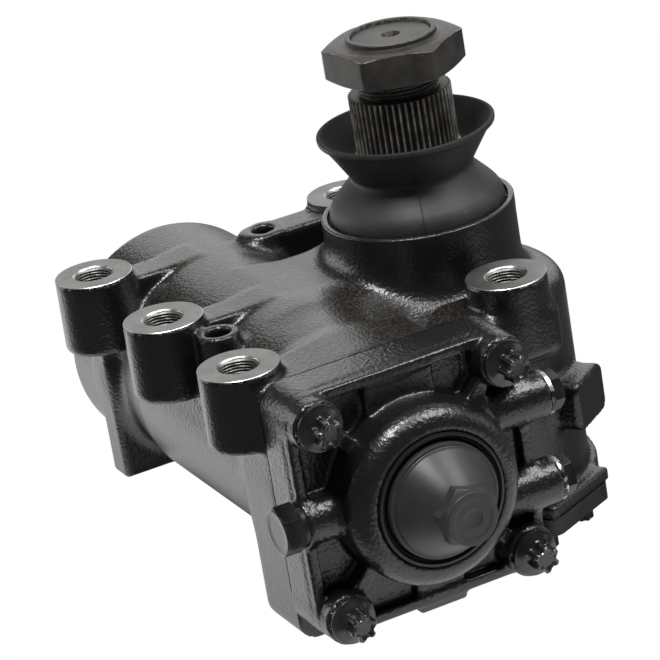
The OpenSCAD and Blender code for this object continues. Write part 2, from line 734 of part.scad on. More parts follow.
module sector_shaft() {
    color("#6a665f") difference() {
        union() {
            on_sector(gear_z0) linear_extrude(face_w) sector_gear();
            on_sector(lower_end_z) cylinder(r = lower_journal_r, h = gear_z0 - lower_end_z + 1);
            on_sector(gear_z1 - 1) cylinder(r = journal_r, h = journal_top - gear_z1 + 1);
            on_sector(journal_top)
                cylinder(r1 = journal_r, r2 = serration_root_r - 0.5, h = serration_z0 - journal_top);
            on_sector(serration_z0) linear_extrude(serration_z1 - serration_z0) serration();
            on_sector(serration_z1 - 1) cylinder(r = nut_thread_r, h = shaft_top - serration_z1 + 1);
        }
        // Pocket for the adjuster's end, and the centre hole of the upper end
        on_sector(lower_end_z - 1)
            cylinder(r = adjuster_r + run_gap, h = adjuster_head_z - lower_end_z + 1 + run_gap);
        on_sector(shaft_top - 6) cylinder(r1 = 1, r2 = 5.5, h = 7);
    }
}
module pitman_nut() {
    collar_r = nut_thread_r + 3.3;
    color("#46433f") difference() {
        union() {
            on_sector(nut_z0) rotate([0, 0, nut_turn]) chamfered_hexagon(nut_flats, nut_t);
            on_sector(nut_z1 - 1) cylinder(r = collar_r, h = nut_collar_h + 1);
        }
        on_sector(nut_z0 - 1) cylinder(r = nut_thread_r + seat_gap, h = nut_t + nut_collar_h + 2);
    }
}
boot_foot_z = hub_h - recess_depth + run_gap;
boot_neck_r = journal_r + seat_gap;
boot_grip_z = journal_top - 2;
// Rubber boot: a skirt that stands in the hub's recess, a waist on the shaft and a dished rim
module dust_boot() {
    skirt = [[boot_foot_r - boot_wall, boot_foot_z], [boot_foot_r, boot_foot_z],
        [boot_foot_r, boot_foot_z + 3]];
    shoulder = arc([boot_foot_r - 9, boot_foot_z + 3], 9, 0, 52, 6);
    rim = [[boot_rim_r, boot_rim_z - 4], [boot_rim_r, boot_rim_z], [boot_rim_r - 2, boot_rim_z]];
    dish = [[boot_neck_r + 1.5, boot_grip_z - 0.5], [boot_neck_r, boot_grip_z - 2]];
    neck = [[boot_neck_r, boot_waist_z - 3], [boot_foot_r - boot_wall - 4, boot_foot_z + 7],
        [boot_foot_r - boot_wall, boot_foot_z + 2]];
    color("#2c2c2d") on_sector(0) rotate_extrude()
        polygon(concat(skirt, shoulder, [[boot_waist_r, boot_waist_z]], rim, dish, neck));
}
// Rack tooth along X: half widths at the root and the tip of the rack
rack_half = tooth_pitch / 4 - backlash / 4;
module rack_outline() {
    root_half = rack_half + dedendum * tan(pressure_angle);
    tip_half = rack_half - addendum * tan(pressure_angle);
    root_y = rack_line - dedendum;
    tip_y = rack_line + addendum;
    for (k = [-(rack_teeth - 1) / 2:(rack_teeth - 1) / 2]) translate([k * tooth_pitch, 0])
        polygon([[-root_half, root_y - 1], [root_half, root_y - 1], [root_half, root_y], [tip_half, tip_y],
            [-tip_half, tip_y], [-root_half, root_y]]);
}
module rack_piston() {
    root_y = rack_line - dedendum;
    color("#8b8b8d") difference() {
        union() {
            difference() {
                on_worm(-piston_len / 2) cylinder(r = piston_r, h = piston_len);
                // Flat that the teeth stand on
                translate([-rack_len / 2, worm_y + root_y, worm_z - piston_r])
                    cube([rack_len, piston_r, 2 * piston_r]);
            }
            intersection() {
                on_worm(-piston_len / 2) cylinder(r = piston_r, h = piston_len);
                translate([0, worm_y, worm_z - piston_r]) linear_extrude(2 * piston_r) rack_outline();
            }
        }
        on_worm(-piston_len / 2 - 1) cylinder(r = piston_bore_r, h = piston_len + 2);
        on_worm(ring_x) ring(piston_r + 1, piston_r - ring_depth, ring_w);
        // Seat of the ball guide
        translate([-guide_len / 2, worm_y - piston_r - 1, worm_z - guide_w / 2])
            cube([guide_len, piston_r - guide_y + 1, guide_w]);
        for (x = guide_screw_places) translate([x, worm_y - guide_y - 1, worm_z]) rotate([-90, 0, 0])
            cylinder(d = guide_screw_d + 2 * seat_gap, h = guide_screw_bite + 2);
    }
}
guide_len = 58;
guide_w = 22;
guide_y = 34;
guide_t = 7;
guide_screw_d = 5;
guide_screw_bite = 8;
guide_screw_places = [-guide_len / 2 + 6, guide_len / 2 - 6];
module piston_seal_ring() {
    color("#3c3a33") on_worm(ring_x + seat_gap)
        ring(piston_r + run_gap / 2, piston_r - ring_depth + seat_gap, ring_w - 2 * seat_gap);
}
module ball_guide() {
    color("#a8a8aa") difference() {
        translate([-guide_len / 2 + seat_gap, worm_y - guide_y - guide_t, worm_z - guide_w / 2 + seat_gap])
            cube([guide_len - 2 * seat_gap, guide_t, guide_w - 2 * seat_gap]);
        for (x = guide_screw_places)
            translate([x, worm_y - guide_y - guide_t - 1, worm_z]) rotate([-90, 0, 0])
                cylinder(d = guide_screw_d + 2 * seat_gap, h = guide_t + 2);
    }
}
module ball_guide_screws() {
    head_h = 3;
    color("#5c5c5e") for (x = guide_screw_places)
        translate([x, worm_y - guide_y - guide_t, worm_z]) rotate([-90, 0, 0]) {
            cylinder(d = guide_screw_d, h = guide_t + guide_screw_bite);
            translate([0, 0, -head_h]) cylinder(d = guide_screw_d * 1.7, h = head_h);
        }
}
module recirculating_balls() {
    count = balls_per_turn * ball_turns;
    color("#c8c8ca") for (i = [0:count - 1]) on_worm((i - count / 2) * worm_lead / balls_per_turn)
        rotate([0, 0, i * 360 / balls_per_turn]) translate([ball_path_r, 0, 0]) sphere(r = ball_r, $fn = 32);
}
module worm_shaft() {
    color("#8b8b8d") difference() {
        union() {
            on_worm(worm_x0) cylinder(r = worm_r, h = worm_head_x - worm_x0 + 1);
            on_worm(worm_head_x) cylinder(r = worm_head_r, h = worm_head_len);
        }
        on_worm(torsion_x0) cylinder(r = torsion_r + seat_gap, h = 200);
    }
}
module valve_sleeve() {
    groove_w = 3;
    color("#b0a98f") difference() {
        on_worm(sleeve_x0) cylinder(r = sleeve_r, h = sleeve_len);
        on_worm(sleeve_x0 - 1) cylinder(r = input_r + run_gap, h = sleeve_len + 2);
        for (i = [0:2]) on_worm(sleeve_x0 + 4 + i * 6) ring(sleeve_r + 1, sleeve_r - 1.5, groove_w);
    }
}
module input_shaft() {
    color("#8b8b8d") difference() {
        on_worm(input_x0) cylinder(r = input_r, h = input_tip - input_x0);
        on_worm(input_x0 - 1) cylinder(r = torsion_r + seat_gap, h = input_tip - input_x0 - 20);
    }
}
module torsion_bar() {
    color("#77777a") on_worm(torsion_x0) cylinder(r = torsion_r, h = input_tip - 21 - torsion_x0);
}
// Press-on cap: a dome, then a hexagon nose with a round end
// Push-on cap: a skirt with a step, a dome, a short hexagon and a round end
module input_cap() {
    cap_x0 = hub_front_x - 1.5;
    wall = 3;
    step = 2;
    skirt_h = 3.6;
    dome_round = 9;
    dome_len = cap_len - cap_nose_len;
    hex_sunk = 6;
    hex_h = hex_sunk + 0.6 * cap_nose_len;
    nose_r = cap_nose_flats / 2;
    color("#4b4b4d") difference() {
        union() {
            on_worm(cap_x0) rotate_extrude() polygon(concat([[0, 0], [cap_r, 0], [cap_r, skirt_h]],
                arc([cap_r - step - dome_round, skirt_h + step], dome_round, 0, 50, 6),
                [[nose_r - 1, dome_len], [0, dome_len]]));
            on_worm(cap_x0 + dome_len - hex_sunk) rotate([0, 0, cap_nose_turn])
                chamfered_hexagon(cap_nose_flats, hex_h);
            on_worm(cap_x0 + dome_len - hex_sunk) cylinder(r = nose_r - 0.2, h = hex_sunk + cap_nose_len);
        }
        on_worm(cap_x0 - 1) cylinder(r = input_r + seat_gap, h = input_tip - cap_x0 + 1);
        on_worm(cap_x0 - 1) rotate_extrude() polygon([[0, 0], [cap_r - step - wall, 0],
            [cap_r - step - wall, skirt_h], [input_r, dome_len - wall - 1], [0, dome_len - wall - 1]]);
    }
}

main_housing();
valve_housing();
valve_housing_bolts();
valve_housing_seal();
side_cover();
side_cover_bolts();
side_cover_seal();
adjuster_screw();
adjuster_lock_nut();
left_port_plug();
right_port_plugs();
port_washers();
upper_sector_bearing();
lower_sector_bearing();
sector_shaft_seal();
worm_bearing();
input_bearing();
input_seal();
sector_shaft();
pitman_nut();
dust_boot();
rack_piston();
piston_seal_ring();
ball_guide();
ball_guide_screws();
recirculating_balls();
worm_shaft();
valve_sleeve();
input_shaft();
torsion_bar();
input_cap();
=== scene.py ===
# %% [markdown]
# # A truck's steering gear, dressed for a portrait
#
# The steering gear of a heavy truck is a cast iron body with a few machined places.
# The CAD gives every solid in its right place. This file gives the parts their skins:
# soft cast blends, sand texture under black paint, bare machined rings, rubber and plastic.
# All coordinates in the file are millimetres until the mesh is made, because a maker thinks in them.

import bmesh
import bpy
import numpy as np
from mathutils import Matrix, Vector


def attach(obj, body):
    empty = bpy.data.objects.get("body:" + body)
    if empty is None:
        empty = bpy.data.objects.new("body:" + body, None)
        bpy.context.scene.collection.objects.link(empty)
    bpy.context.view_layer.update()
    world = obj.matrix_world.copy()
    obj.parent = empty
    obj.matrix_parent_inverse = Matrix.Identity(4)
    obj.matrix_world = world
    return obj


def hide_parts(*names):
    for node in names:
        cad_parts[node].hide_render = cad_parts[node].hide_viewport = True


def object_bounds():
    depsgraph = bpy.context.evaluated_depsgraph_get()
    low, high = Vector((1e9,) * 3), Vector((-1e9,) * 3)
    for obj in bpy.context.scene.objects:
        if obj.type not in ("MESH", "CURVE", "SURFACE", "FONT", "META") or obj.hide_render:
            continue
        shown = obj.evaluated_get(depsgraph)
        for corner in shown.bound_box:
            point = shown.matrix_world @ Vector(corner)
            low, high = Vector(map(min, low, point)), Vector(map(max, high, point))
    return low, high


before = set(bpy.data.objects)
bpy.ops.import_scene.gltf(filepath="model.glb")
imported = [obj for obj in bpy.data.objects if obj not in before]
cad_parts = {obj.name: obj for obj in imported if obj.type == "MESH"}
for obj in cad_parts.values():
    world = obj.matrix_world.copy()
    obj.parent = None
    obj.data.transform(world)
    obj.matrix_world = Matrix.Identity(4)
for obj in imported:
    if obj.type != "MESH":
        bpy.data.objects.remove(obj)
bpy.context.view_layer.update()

# %% [markdown]
# ## The few sizes that everything shares
#
# The worm runs along X, the sector shaft stands along Z, and the machined boss faces are the plane z = 0.
# These are the same sizes as in the CAD source, so each skin sits where its solid is.

# %% Sizes in millimetres
WORM_Y, WORM_Z = -15.0, -65.0
SECTOR_Y = 73.0
FRONT, REAR = 112.0, -140.0
COVER_Z = -140.0
BARREL_R, CYLINDER_R, CYLINDER_REAR = 60.0, 49.6, -129.0
CHAMBER_R, CHAMBER_ROOM_R, CHAMBER_ROOF = 68.0, 58.2, -38.4
HUB_R, HUB_TOP, BOOT_SEAT_R, BEARING_R = 48.9, 14.4, 46.0, 34.0
BOSSES = np.array([[-86, -73], [0, -73], [86, -73], [86, 73], [-86, 73]], float)
BOSS_R, BOSS_HOLE_R, TAP_R = 20.0, 10.5, 9.9
SMALL_BOSS, SMALL_HOLE_R = (27.5, -57.0), 6.2
EAR, EAR_HOLE_R = (-81.0, 21.5), 5.8
VALVE_HALF, VALVE_CORNER = 62.0, 14.5
BOLT_SEAT = FRONT + 36
BOLT_SQUARE = [(a, b) for a in (-49.5, 49.5) for b in (-49.5, 49.5)]
PORT_X, PORT_R, PORT_HOLE_R = FRONT + 24, 11.5, 7.6
LEFT_PORT_Y, RIGHT_PORT_Y, RIGHT_PORTS_Z = -62.0, 72.0, (-22.5, 22.5)
TAU = 2 * np.pi
print("sector axis is", SECTOR_Y - WORM_Y, "mm from the worm axis")

# %% [markdown]
# ## From arrays to a mesh
#
# Blender takes a mesh as a list of points and a list of faces. numpy makes both at once,
# so no loop walks over points. Points that fall on each other, as at the pole of a turned part, are merged,
# and the faces are turned to look outwards. Two values are stored with each point for the finishes:
# how far it looks up, and how sharp an outer edge it lies on.

# %% Mesh helpers
NUMBERS_PER_ITEM = {"vector": 3, "normal": 3, "co": 3, "vertices": 2}


def read(items, key, kind=np.float32):
    """All values of one property of a mesh's items, as a flat array."""
    values = np.empty(len(items) * NUMBERS_PER_ITEM.get(key, 1), kind)
    items.foreach_get(key, values)
    return values


def rims(mesh, normals):
    """How sharply the surface folds outwards at each point: 1 - cos(angle) of its steepest face,
    0 in hollows."""
    corner = read(mesh.loops, "vertex_index", np.int32)
    sides = read(mesh.polygons, "loop_total", np.int32)
    face = np.repeat(read(mesh.polygons, "normal").reshape(-1, 3), sides, 0)
    fold = np.zeros(len(normals), np.float32)
    np.maximum.at(fold, corner, 1 - (normals[corner] * face).sum(1))
    a, b = read(mesh.edges, "vertices", np.int32).reshape(-1, 2).T
    place = read(mesh.vertices, "co").reshape(-1, 3)
    lift = np.zeros(len(normals), np.float32)
    np.add.at(lift, a, ((place[a] - place[b]) * normals[a]).sum(1))
    np.add.at(lift, b, ((place[b] - place[a]) * normals[b]).sum(1))
    return np.where(lift > 0, fold, 0).astype(np.float32)


def new_piece(name, points, quads, body, merge=True, crease=32):
    """A mesh object from points in millimetres and rows of four indices. It rides on a CAD body.
    Edges that turn by more than crease degrees stay sharp."""
    mesh = bpy.data.meshes.new(name)
    mesh.from_pydata((np.asarray(points) / 1000).tolist(), [], np.asarray(quads).tolist())
    if merge:
        work = bmesh.new()
        work.from_mesh(mesh)
        bmesh.ops.remove_doubles(work, verts=work.verts, dist=1e-6)
        bmesh.ops.dissolve_degenerate(work, edges=work.edges, dist=1e-7)
        bmesh.ops.recalc_face_normals(work, faces=work.faces)
        work.to_mesh(mesh)
        work.free()
    mesh.polygons.foreach_set("use_smooth", np.ones(len(mesh.polygons), bool))
    if merge:
        mesh.set_sharp_from_angle(angle=np.radians(crease))
    normals = read(mesh.vertex_normals, "vector").reshape(-1, 3)
    for key, values in (("up", normals[:, 2].copy()), ("rim", rims(mesh, normals))):
        mesh.attributes.new(key, "FLOAT", "POINT").data.foreach_set("value", values)
    piece = bpy.data.objects.new(name, mesh)
    bpy.context.scene.collection.objects.link(piece)
    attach(piece, body)
    print(name, len(mesh.vertices), "points", len(mesh.polygons), "faces")
    return piece


# %% [markdown]
# ## Turned forms and their profiles
#
# Most small parts come off a lathe. A profile is a list of (radius, height) points, and turning it gives
# a grid of points. Straight stretches get even points, and soft ones follow a smooth curve through a few
# measured points.

# %% Profiles and turning
def lattice(rows, cols):
    """Quads between the points of a grid of rows and columns, the columns closed into a ring."""
    r, c = np.meshgrid(np.arange(rows - 1), np.arange(cols), indexing="ij")
    d = (c + 1) % cols
    here, above = r * cols, (r + 1) * cols
    return np.stack([here + c, here + d, above + d, above + c], -1).reshape(-1, 4)


def spun(profile, shape=None, cols=96):
    """Points (radius(t, s) cos t, radius(t, s) sin t, height(s)) of a turned form, about Z.
    shape(t, radius, height) may bend the round section, for example into a hexagon."""
    profile = np.asarray(profile, float)
    t = np.arange(cols) / cols * TAU
    r, z = profile[:, :1], profile[:, 1:2]
    radius = np.broadcast_to(r, (len(profile), cols)) if shape is None else shape(t[None, :], r, z)
    grid = np.stack([radius * np.cos(t), radius * np.sin(t), np.broadcast_to(z, radius.shape)], -1)
    return grid.reshape(-1, 3), lattice(len(profile), cols)


def along_x(points, x, y=WORM_Y, z=WORM_Z):
    """Turns a form drawn about Z so that its height runs along +X."""
    return np.stack([points[:, 2] + x, points[:, 0] + y, points[:, 1] + z], -1)


def several(form, shifts):
    """The same points and quads repeated at each shift, as one mesh."""
    points, quads = form
    count = len(points)
    return (np.concatenate([points + s for s in shifts]),
            np.concatenate([quads + i * count for i in range(len(shifts))]))


def flowing(points, n):
    """A smooth profile through the given points: Catmull-Rom curve, resampled at even lengths."""
    p = np.asarray(points, float)
    p = np.concatenate([[2 * p[0] - p[1]], p, [2 * p[-1] - p[-2]]])
    u = np.linspace(0, 1, 12, endpoint=False)[None, :, None]
    a, b, c, d = (p[i:len(p) - 3 + i, None] for i in range(4))
    bend, twist = 2 * a - 5 * b + 4 * c - d, 3 * b - a - 3 * c + d
    curve = 0.5 * (2 * b + (c - a) * u + bend * u**2 + twist * u**3)
    curve = np.concatenate([curve.reshape(-1, 2), p[-2:-1]])
    length = np.concatenate([[0], np.cumsum(np.hypot(*np.diff(curve, axis=0).T))])
    even = np.linspace(0, length[-1], n)
    return np.stack([np.interp(even, length, curve[:, 0]), np.interp(even, length, curve[:, 1])], -1)


def legs(start, *stops):
    """A profile of straight legs. Each stop is (radius, height, count), with count even points
    on the way to it."""
    ends = np.array([start] + [stop[:2] for stop in stops], float)
    ways = [np.linspace(a, b, stop[2], endpoint=False) for a, b, stop in zip(ends, ends[1:], stops)]
    return np.concatenate(ways + [ends[-1:]])


print("a ring of 3 rows and 8 columns has", len(lattice(3, 8)), "quads")

# %% [markdown]
# ## A casting as one blended form
#
# Molten iron has no sharp inside corners: where a boss meets the barrel, the mould is rounded.
# Booleans of cylinders give hard seams there, and a bevel fails where many surfaces meet.
# So the casting is described by a distance: each simple form says how far a point is from its surface,
# and two forms are joined by a soft minimum, which fills the corner between them like a fillet.
# The surface is where the distance is zero.

# %% Distances to simple forms
def soft_join(a, b, k):
    """The smaller of two distances, with the corner between them filled over about k millimetres."""
    h = np.maximum(k - np.abs(a - b), 0) / k
    return np.minimum(a, b) - h * h * k / 4


def soft_cut(a, b, k):
    """Form a without form b, the new edge rounded over about k millimetres."""
    return -soft_join(-a, b, k)


def capped(side, ends, edge):
    """A form bounded by a side distance and an end distance, its rim rounded by edge."""
    p, q = side + edge, ends + edge
    return np.minimum(np.maximum(p, q), 0) + np.hypot(np.maximum(p, 0), np.maximum(q, 0)) - edge


def beyond(u, span):
    """Distance past the nearer end of a span along one axis, negative inside it."""
    return np.abs(u - sum(span) / 2) - (span[1] - span[0]) / 2


def rod_x(x, y, z, at, span, r, edge=2.0):
    """Distance to a rod of radius r along X, at a place (y, z)."""
    return capped(np.hypot(y - at[0], z - at[1]) - r, beyond(x, span), edge)


def rod_y(x, y, z, at, span, r, edge=2.0):
    """Distance to a rod of radius r along Y, at a place (x, z)."""
    return capped(np.hypot(x - at[0], z - at[1]) - r, beyond(y, span), edge)


def rod_z(x, y, z, at, span, r, edge=2.0):
    """Distance to a rod of radius r along Z, at a place (x, y)."""
    return capped(np.hypot(x - at[0], y - at[1]) - r, beyond(z, span), edge)


def block(x, y, z, low, high, edge=3.0):
    """Distance to a box with rounded edges, from its lowest to its highest corner."""
    q = [np.abs(p - (a + b) / 2) - (b - a) / 2 + edge for p, a, b in zip((x, y, z), low, high)]
    outside = np.sqrt(sum(np.maximum(v, 0) ** 2 for v in q))
    return outside + np.minimum(np.maximum(np.maximum(q[0], q[1]), q[2]), 0) - edge


def rise(u, start, length):
    """0 up to start and 1 from a length further on, straight between them.
    It lets a fillet grow along an axis."""
    return np.clip((u - start) / length, 0, 1)


print("a soft join of 10 mm fills a corner by", -soft_join(0.0, 0.0, 10.0), "mm")

# %% [markdown]
# ## From distance to mesh
#
# A grid of cubes is laid over the form. Every cube that the surface passes through gets one point,
# and every grid line that goes from inside to outside gets one face, joining the four cubes round it.
# The points are then slid along the distance's slope until they lie on the surface itself.

# %% Skin of a distance
def slope_of(distance, points, probe=0.05):
    """The distance's slope along each axis, from a probe to either side."""
    steps = probe * np.eye(3)
    rises = [distance(*(points + step).T) - distance(*(points - step).T) for step in steps]
    return np.stack(rises, -1) / (2 * probe)


def skin(distance, low, high, step):
    """Points and quads of the surface where distance(x, y, z) is zero, inside a box."""
    axes = [np.arange(a, b + step, step) for a, b in zip(low, high)]
    inside = distance(*np.meshgrid(*axes, indexing="ij", sparse=True)) < 0
    n = [m - 1 for m in inside.shape]
    ends = (0, 1)
    corners = [inside[i:n[0] + i, j:n[1] + j, k:n[2] + k] for i in ends for j in ends for k in ends]
    filled = sum(c.astype(np.int8) for c in corners)
    crossed = (filled > 0) & (filled < len(corners))
    index = np.full(crossed.shape, -1)
    index[crossed] = np.arange(crossed.sum())
    points = np.stack([a[c] + step / 2 for a, c in zip(axes, np.nonzero(crossed))], -1)
    quads = []
    for axis in range(3):
        order = [axis, (axis + 1) % 3, (axis + 2) % 3]
        sign, cell = (np.moveaxis(a, order, [0, 1, 2]) for a in (inside, index))
        start, end = sign[:-1, 1:-1, 1:-1], sign[1:, 1:-1, 1:-1]
        ring = [cell[:, :-1, :-1], cell[:, 1:, :-1], cell[:, 1:, 1:], cell[:, :-1, 1:]]
        out, back = start & ~end, end & ~start
        quads.append(np.stack([c[out] for c in ring], -1))
        quads.append(np.stack([c[back] for c in ring[::-1]], -1))
    for reach in (step, step / 2, step / 2, step / 2):
        slope = slope_of(distance, points)
        steepness = np.maximum((slope**2).sum(1, keepdims=True), 0.05)
        push = distance(*points.T)[:, None] * slope / steepness
        points = points - np.clip(push, -reach, reach)
    return points, np.concatenate(quads)


# %% [markdown]
# ## The main housing
#
# Barrel, deck, flange block, sector chamber and hub are the big forms. The barrel narrows a little below,
# between its foot plate and the flange. Where two forms meet at a flat angle the fillet is wide, and
# where one stands straight up it is narrow, so some fillets grow along an axis.

# %% Big forms of the housing
def big_forms(x, y, z):
    """Barrel, deck, flange and sector chamber with its hub, joined softly."""
    waist = rise(x, -98, 6) * (2.5 + 4.5 * rise(-x, 56, 34)) * rise(-z, 28, 22)
    body = rod_x(x, y, z, (WORM_Y, WORM_Z), (REAR, FRONT), BARREL_R - waist, 6)
    deck_top = -7.5
    deck = block(x, y, z, (-44, WORM_Y, -60), (48, SECTOR_Y, deck_top), 3)
    deck = soft_cut(deck, -(0.55 * (x - 20) + 0.83 * (z - deck_top)), 7)
    body = soft_join(body, deck, 6 + 12 * rise(x, 8, 24))
    low, high = (70, WORM_Y - 61, WORM_Z - 71), (FRONT + 20, WORM_Y + 63, WORM_Z + 58.5)
    chamfer = 0.62 * (y - WORM_Y - 60) + 0.785 * (z - WORM_Z - 37)
    flange = np.maximum(block(x, y, z, low, high, 9), chamfer)
    body = soft_join(body, np.maximum(flange, x - FRONT), 10)
    hub = rod_z(x, y, z, (0, SECTOR_Y), (-60, HUB_TOP), HUB_R, 1.6)
    chamber = soft_join(rod_z(x, y, z, (0, SECTOR_Y), (COVER_Z, -28), CHAMBER_R, 10), hub, 16)
    return soft_join(body, chamber, 9 + 7 * rise(z, -45, 15))


print("the barrel's wall is", round(BARREL_R - CYLINDER_R, 1), "mm thick")

# %% [markdown]
# Five bosses stand on the big forms, two of them on ribs, with a foot plate behind, a web and an ear at
# the back, a column at the right front, a flat pad on the chamber and a lip where the cover is bolted on.
# The bores are cut out last, as they are in the factory, because the rack and the sector move inside.

# %% Main housing
def from_sector(x, y, degrees):
    """Distances outwards from the sector axis and sideways, in a direction turned from X."""
    a = np.radians(degrees)
    y = y - SECTOR_Y
    return x * np.cos(a) + y * np.sin(a), -x * np.sin(a) + y * np.cos(a)


def add_ons(body, x, y, z):
    """Foot, ribs, column, web, ear, pad, cover lip and small boss, joined to the big forms."""
    foot = block(x, y, z, (-109, -74, -118), (-92, -25, -34), 2)
    body = soft_join(body, foot, 2 + 11 * rise(x, -98, 8))
    for rib in (-86, 0):
        body = soft_join(body, block(x, y, z, (rib - 11, -73, -40), (rib + 11, WORM_Y, -5.5), 2.5), 4)
    column = block(x, y, z, (60, 39, -45), (104, 93, -13), 9)
    web = block(x, y, z, (-86, 64, -62), (0, 82, -16), 4)
    body = soft_join(soft_join(body, column, 12), web, 6)
    ear = block(x, y, z, (-92, 21, -44), (-70, SECTOR_Y, -4), 1.5)
    ear = soft_join(ear, rod_z(x, y, z, EAR, (-34, -4), 11, 1.2), 3)
    body = soft_join(body, ear, 3 + 11 * rise(-y, -34, 14))
    out, side = from_sector(x, y, 37)
    pad = capped(block(side, z, 0 * out, (-17, -101, -50), (17, -75, 50), 6), np.abs(out - 57) - 24, 1.4)
    body = soft_join(body, pad, 5)
    out, side = from_sector(x, y, 27)
    lip_top = COVER_Z + 7
    lip = np.minimum(rod_z(x, y, z, (0, SECTOR_Y), (COVER_Z, lip_top), 72, 1.5),
                     block(out, side, z, (0, -26, COVER_Z), (75.5, 26, lip_top), 1.5))
    body = soft_join(body, lip, 3)
    return soft_join(body, rod_z(x, y, z, SMALL_BOSS, (-40, -5), 10.8, 1.5), 6)


def main_casting(x, y, z):
    """The housing's forms with their bosses, levelled just under the milled faces, minus the bores."""
    body = add_ons(big_forms(x, y, z), x, y, z)
    for place in BOSSES:
        draft = 0.8 * np.clip(-z, 0, 38) / 38
        body = soft_join(body, rod_z(x, y, z, place, (-38, 4), BOSS_R + draft, 1.6), 4)
        body = soft_cut(body, rod_z(x, y, z, place, (-34, 20), BOSS_HOLE_R, 1), 1)
    near_hub = np.hypot(x, y - SECTOR_Y) < 60
    body = np.maximum(body, np.where(near_hub, z - 40, z + 0.35))
    sector = (0, SECTOR_Y)
    body = soft_cut(body, rod_x(x, y, z, (WORM_Y, WORM_Z), (CYLINDER_REAR, 140), CYLINDER_R, 1), 1)
    body = soft_cut(body, rod_z(x, y, z, sector, (-160, CHAMBER_ROOF), CHAMBER_ROOM_R, 1), 1)
    body = soft_cut(body, rod_z(x, y, z, sector, (-160, 40), BEARING_R, 1), 1)
    body = soft_cut(body, rod_z(x, y, z, sector, (12, 40), BOOT_SEAT_R, 0.5), 1.2)
    body = soft_cut(body, rod_z(x, y, z, SMALL_BOSS, (-21, 20), SMALL_HOLE_R, 1), 1.6)
    return soft_cut(body, rod_z(x, y, z, EAR, (-64, 20), EAR_HOLE_R, 1), 1.6)


HOUSING_STEP = 2.06
points, quads = skin(main_casting, (-146, -100, -146), (118, 160, 22), HOUSING_STEP)
housing_skin = new_piece("housing_skin", points, quads, "housing", merge=False)
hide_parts("main_housing")

# %% [markdown]
# ## The hub's rim
#
# The hub ends in a wall of three millimetres, little more than one grid step. A thin wall is better turned,
# so a ring with rounded edges grows out of the skin just below the top.

# %% Hub rim
ring = flowing([[45.9, 11.6], [45.95, 14.2], [46.4, 14.9], [47.2, 15.0], [48.2, 14.9], [48.85, 14.4],
                [49.02, 13.4], [49.0, 8.0], [48.6, 2.0], [47.0, 1.0], [46.2, 4.0], [45.9, 11.6]], 60)
points, quads = spun(ring, None, 160)
hub_rim = new_piece("hub_rim", points + [0, SECTOR_Y, 0], quads, "housing")

# %% [markdown]
# ## The valve housing
#
# The front casting has a rim, pockets, diagonal webs and round port bosses. It is smaller and has finer
# corners, so it gets its own grid with a smaller step and tighter fillets.

# %% Valve housing
def valve_forms(x, y, z):
    """Soft union of floor, rim, webs, two raised fields, bolt columns, hub and ports, about the worm axis."""
    square = block(y, z, 0 * x, (-VALVE_HALF, -VALVE_HALF, -90), (VALVE_HALF, VALVE_HALF, 90), VALVE_CORNER)
    inner = block(y, z, 0 * x, (-56.5, -56.5, -90), (56.5, 56.5, 90), 8)
    floor = capped(square, beyond(x, (FRONT, FRONT + 20.5)), 1.2)
    rim = capped(np.maximum(square, -inner), beyond(x, (FRONT, FRONT + 27)), 1.3)
    body = soft_join(floor, rim, 2)
    for lean in (-1, 1):
        web = np.abs(y - lean * z) / np.sqrt(2) - 3.4
        ends = np.maximum(np.hypot(y, z) - 72, beyond(x, (FRONT, FRONT + 30)))
        body = soft_join(body, np.maximum(web, ends), 1.5)
    for low, high in (((-20, 20), (17, 60)), ((-9, -66), (17, -20))):
        body = soft_join(body, block(x, y, z, (FRONT, *low), (FRONT + 26, *high), 2.0), 2.5)
    for place in BOLT_SQUARE:
        body = soft_join(body, rod_x(x, y, z, place, (FRONT, BOLT_SEAT), 12.7, 0.7), 2.5)
    body = soft_join(body, rod_x(x, y, z, (0, 0), (FRONT, FRONT + 50), 45, 11), 2)
    body = soft_join(body, rod_y(x, y, z, (PORT_X, 0), (LEFT_PORT_Y, 0), PORT_R, 1.2), 4)
    for port in RIGHT_PORTS_Z:
        body = soft_join(body, rod_y(x, y, z, (PORT_X, port), (0, RIGHT_PORT_Y), PORT_R, 1.2), 4)
    return soft_join(body, block(x, y, z, (FRONT, 44, -20), (FRONT + 19, 50, 20), 2), 3)


def valve_casting(x, y, z):
    """The valve housing's forms, cut flat at the joint, minus the stepped bore and the ports' holes."""
    y, z = y - WORM_Y, z - WORM_Z
    body = np.maximum(valve_forms(x, y, z), FRONT + 0.25 - x)
    for span, r, soft in (((-40, 35), 30.4, 0.6), ((0, 90), 24, 0.6), ((42.5, 90), 33.2, 1.6)):
        body = soft_cut(body, rod_x(x, y, z, (0, 0), (FRONT + span[0], FRONT + span[1]), r, 1), soft)
    body = soft_cut(body, rod_y(x, y, z, (PORT_X, 0), (-100, -38), PORT_HOLE_R, 1), 0.6)
    for port in RIGHT_PORTS_Z:
        body = soft_cut(body, rod_y(x, y, z, (PORT_X, port), (48, 100), PORT_HOLE_R, 1), 0.6)
    return body


VALVE_STEP = 1.3
points, quads = skin(valve_casting, (109, -82, -136), (165, 62, 2), VALVE_STEP)
valve_skin = new_piece("valve_skin", points, quads, "housing", merge=False)
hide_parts("valve_housing")

# %% [markdown]
# ## The joint between the castings
#
# A thin gasket is pressed out a little where the two castings meet, and reads as a black line.
# It is a band that runs round a square with round corners: four quarter circles, one after the other.

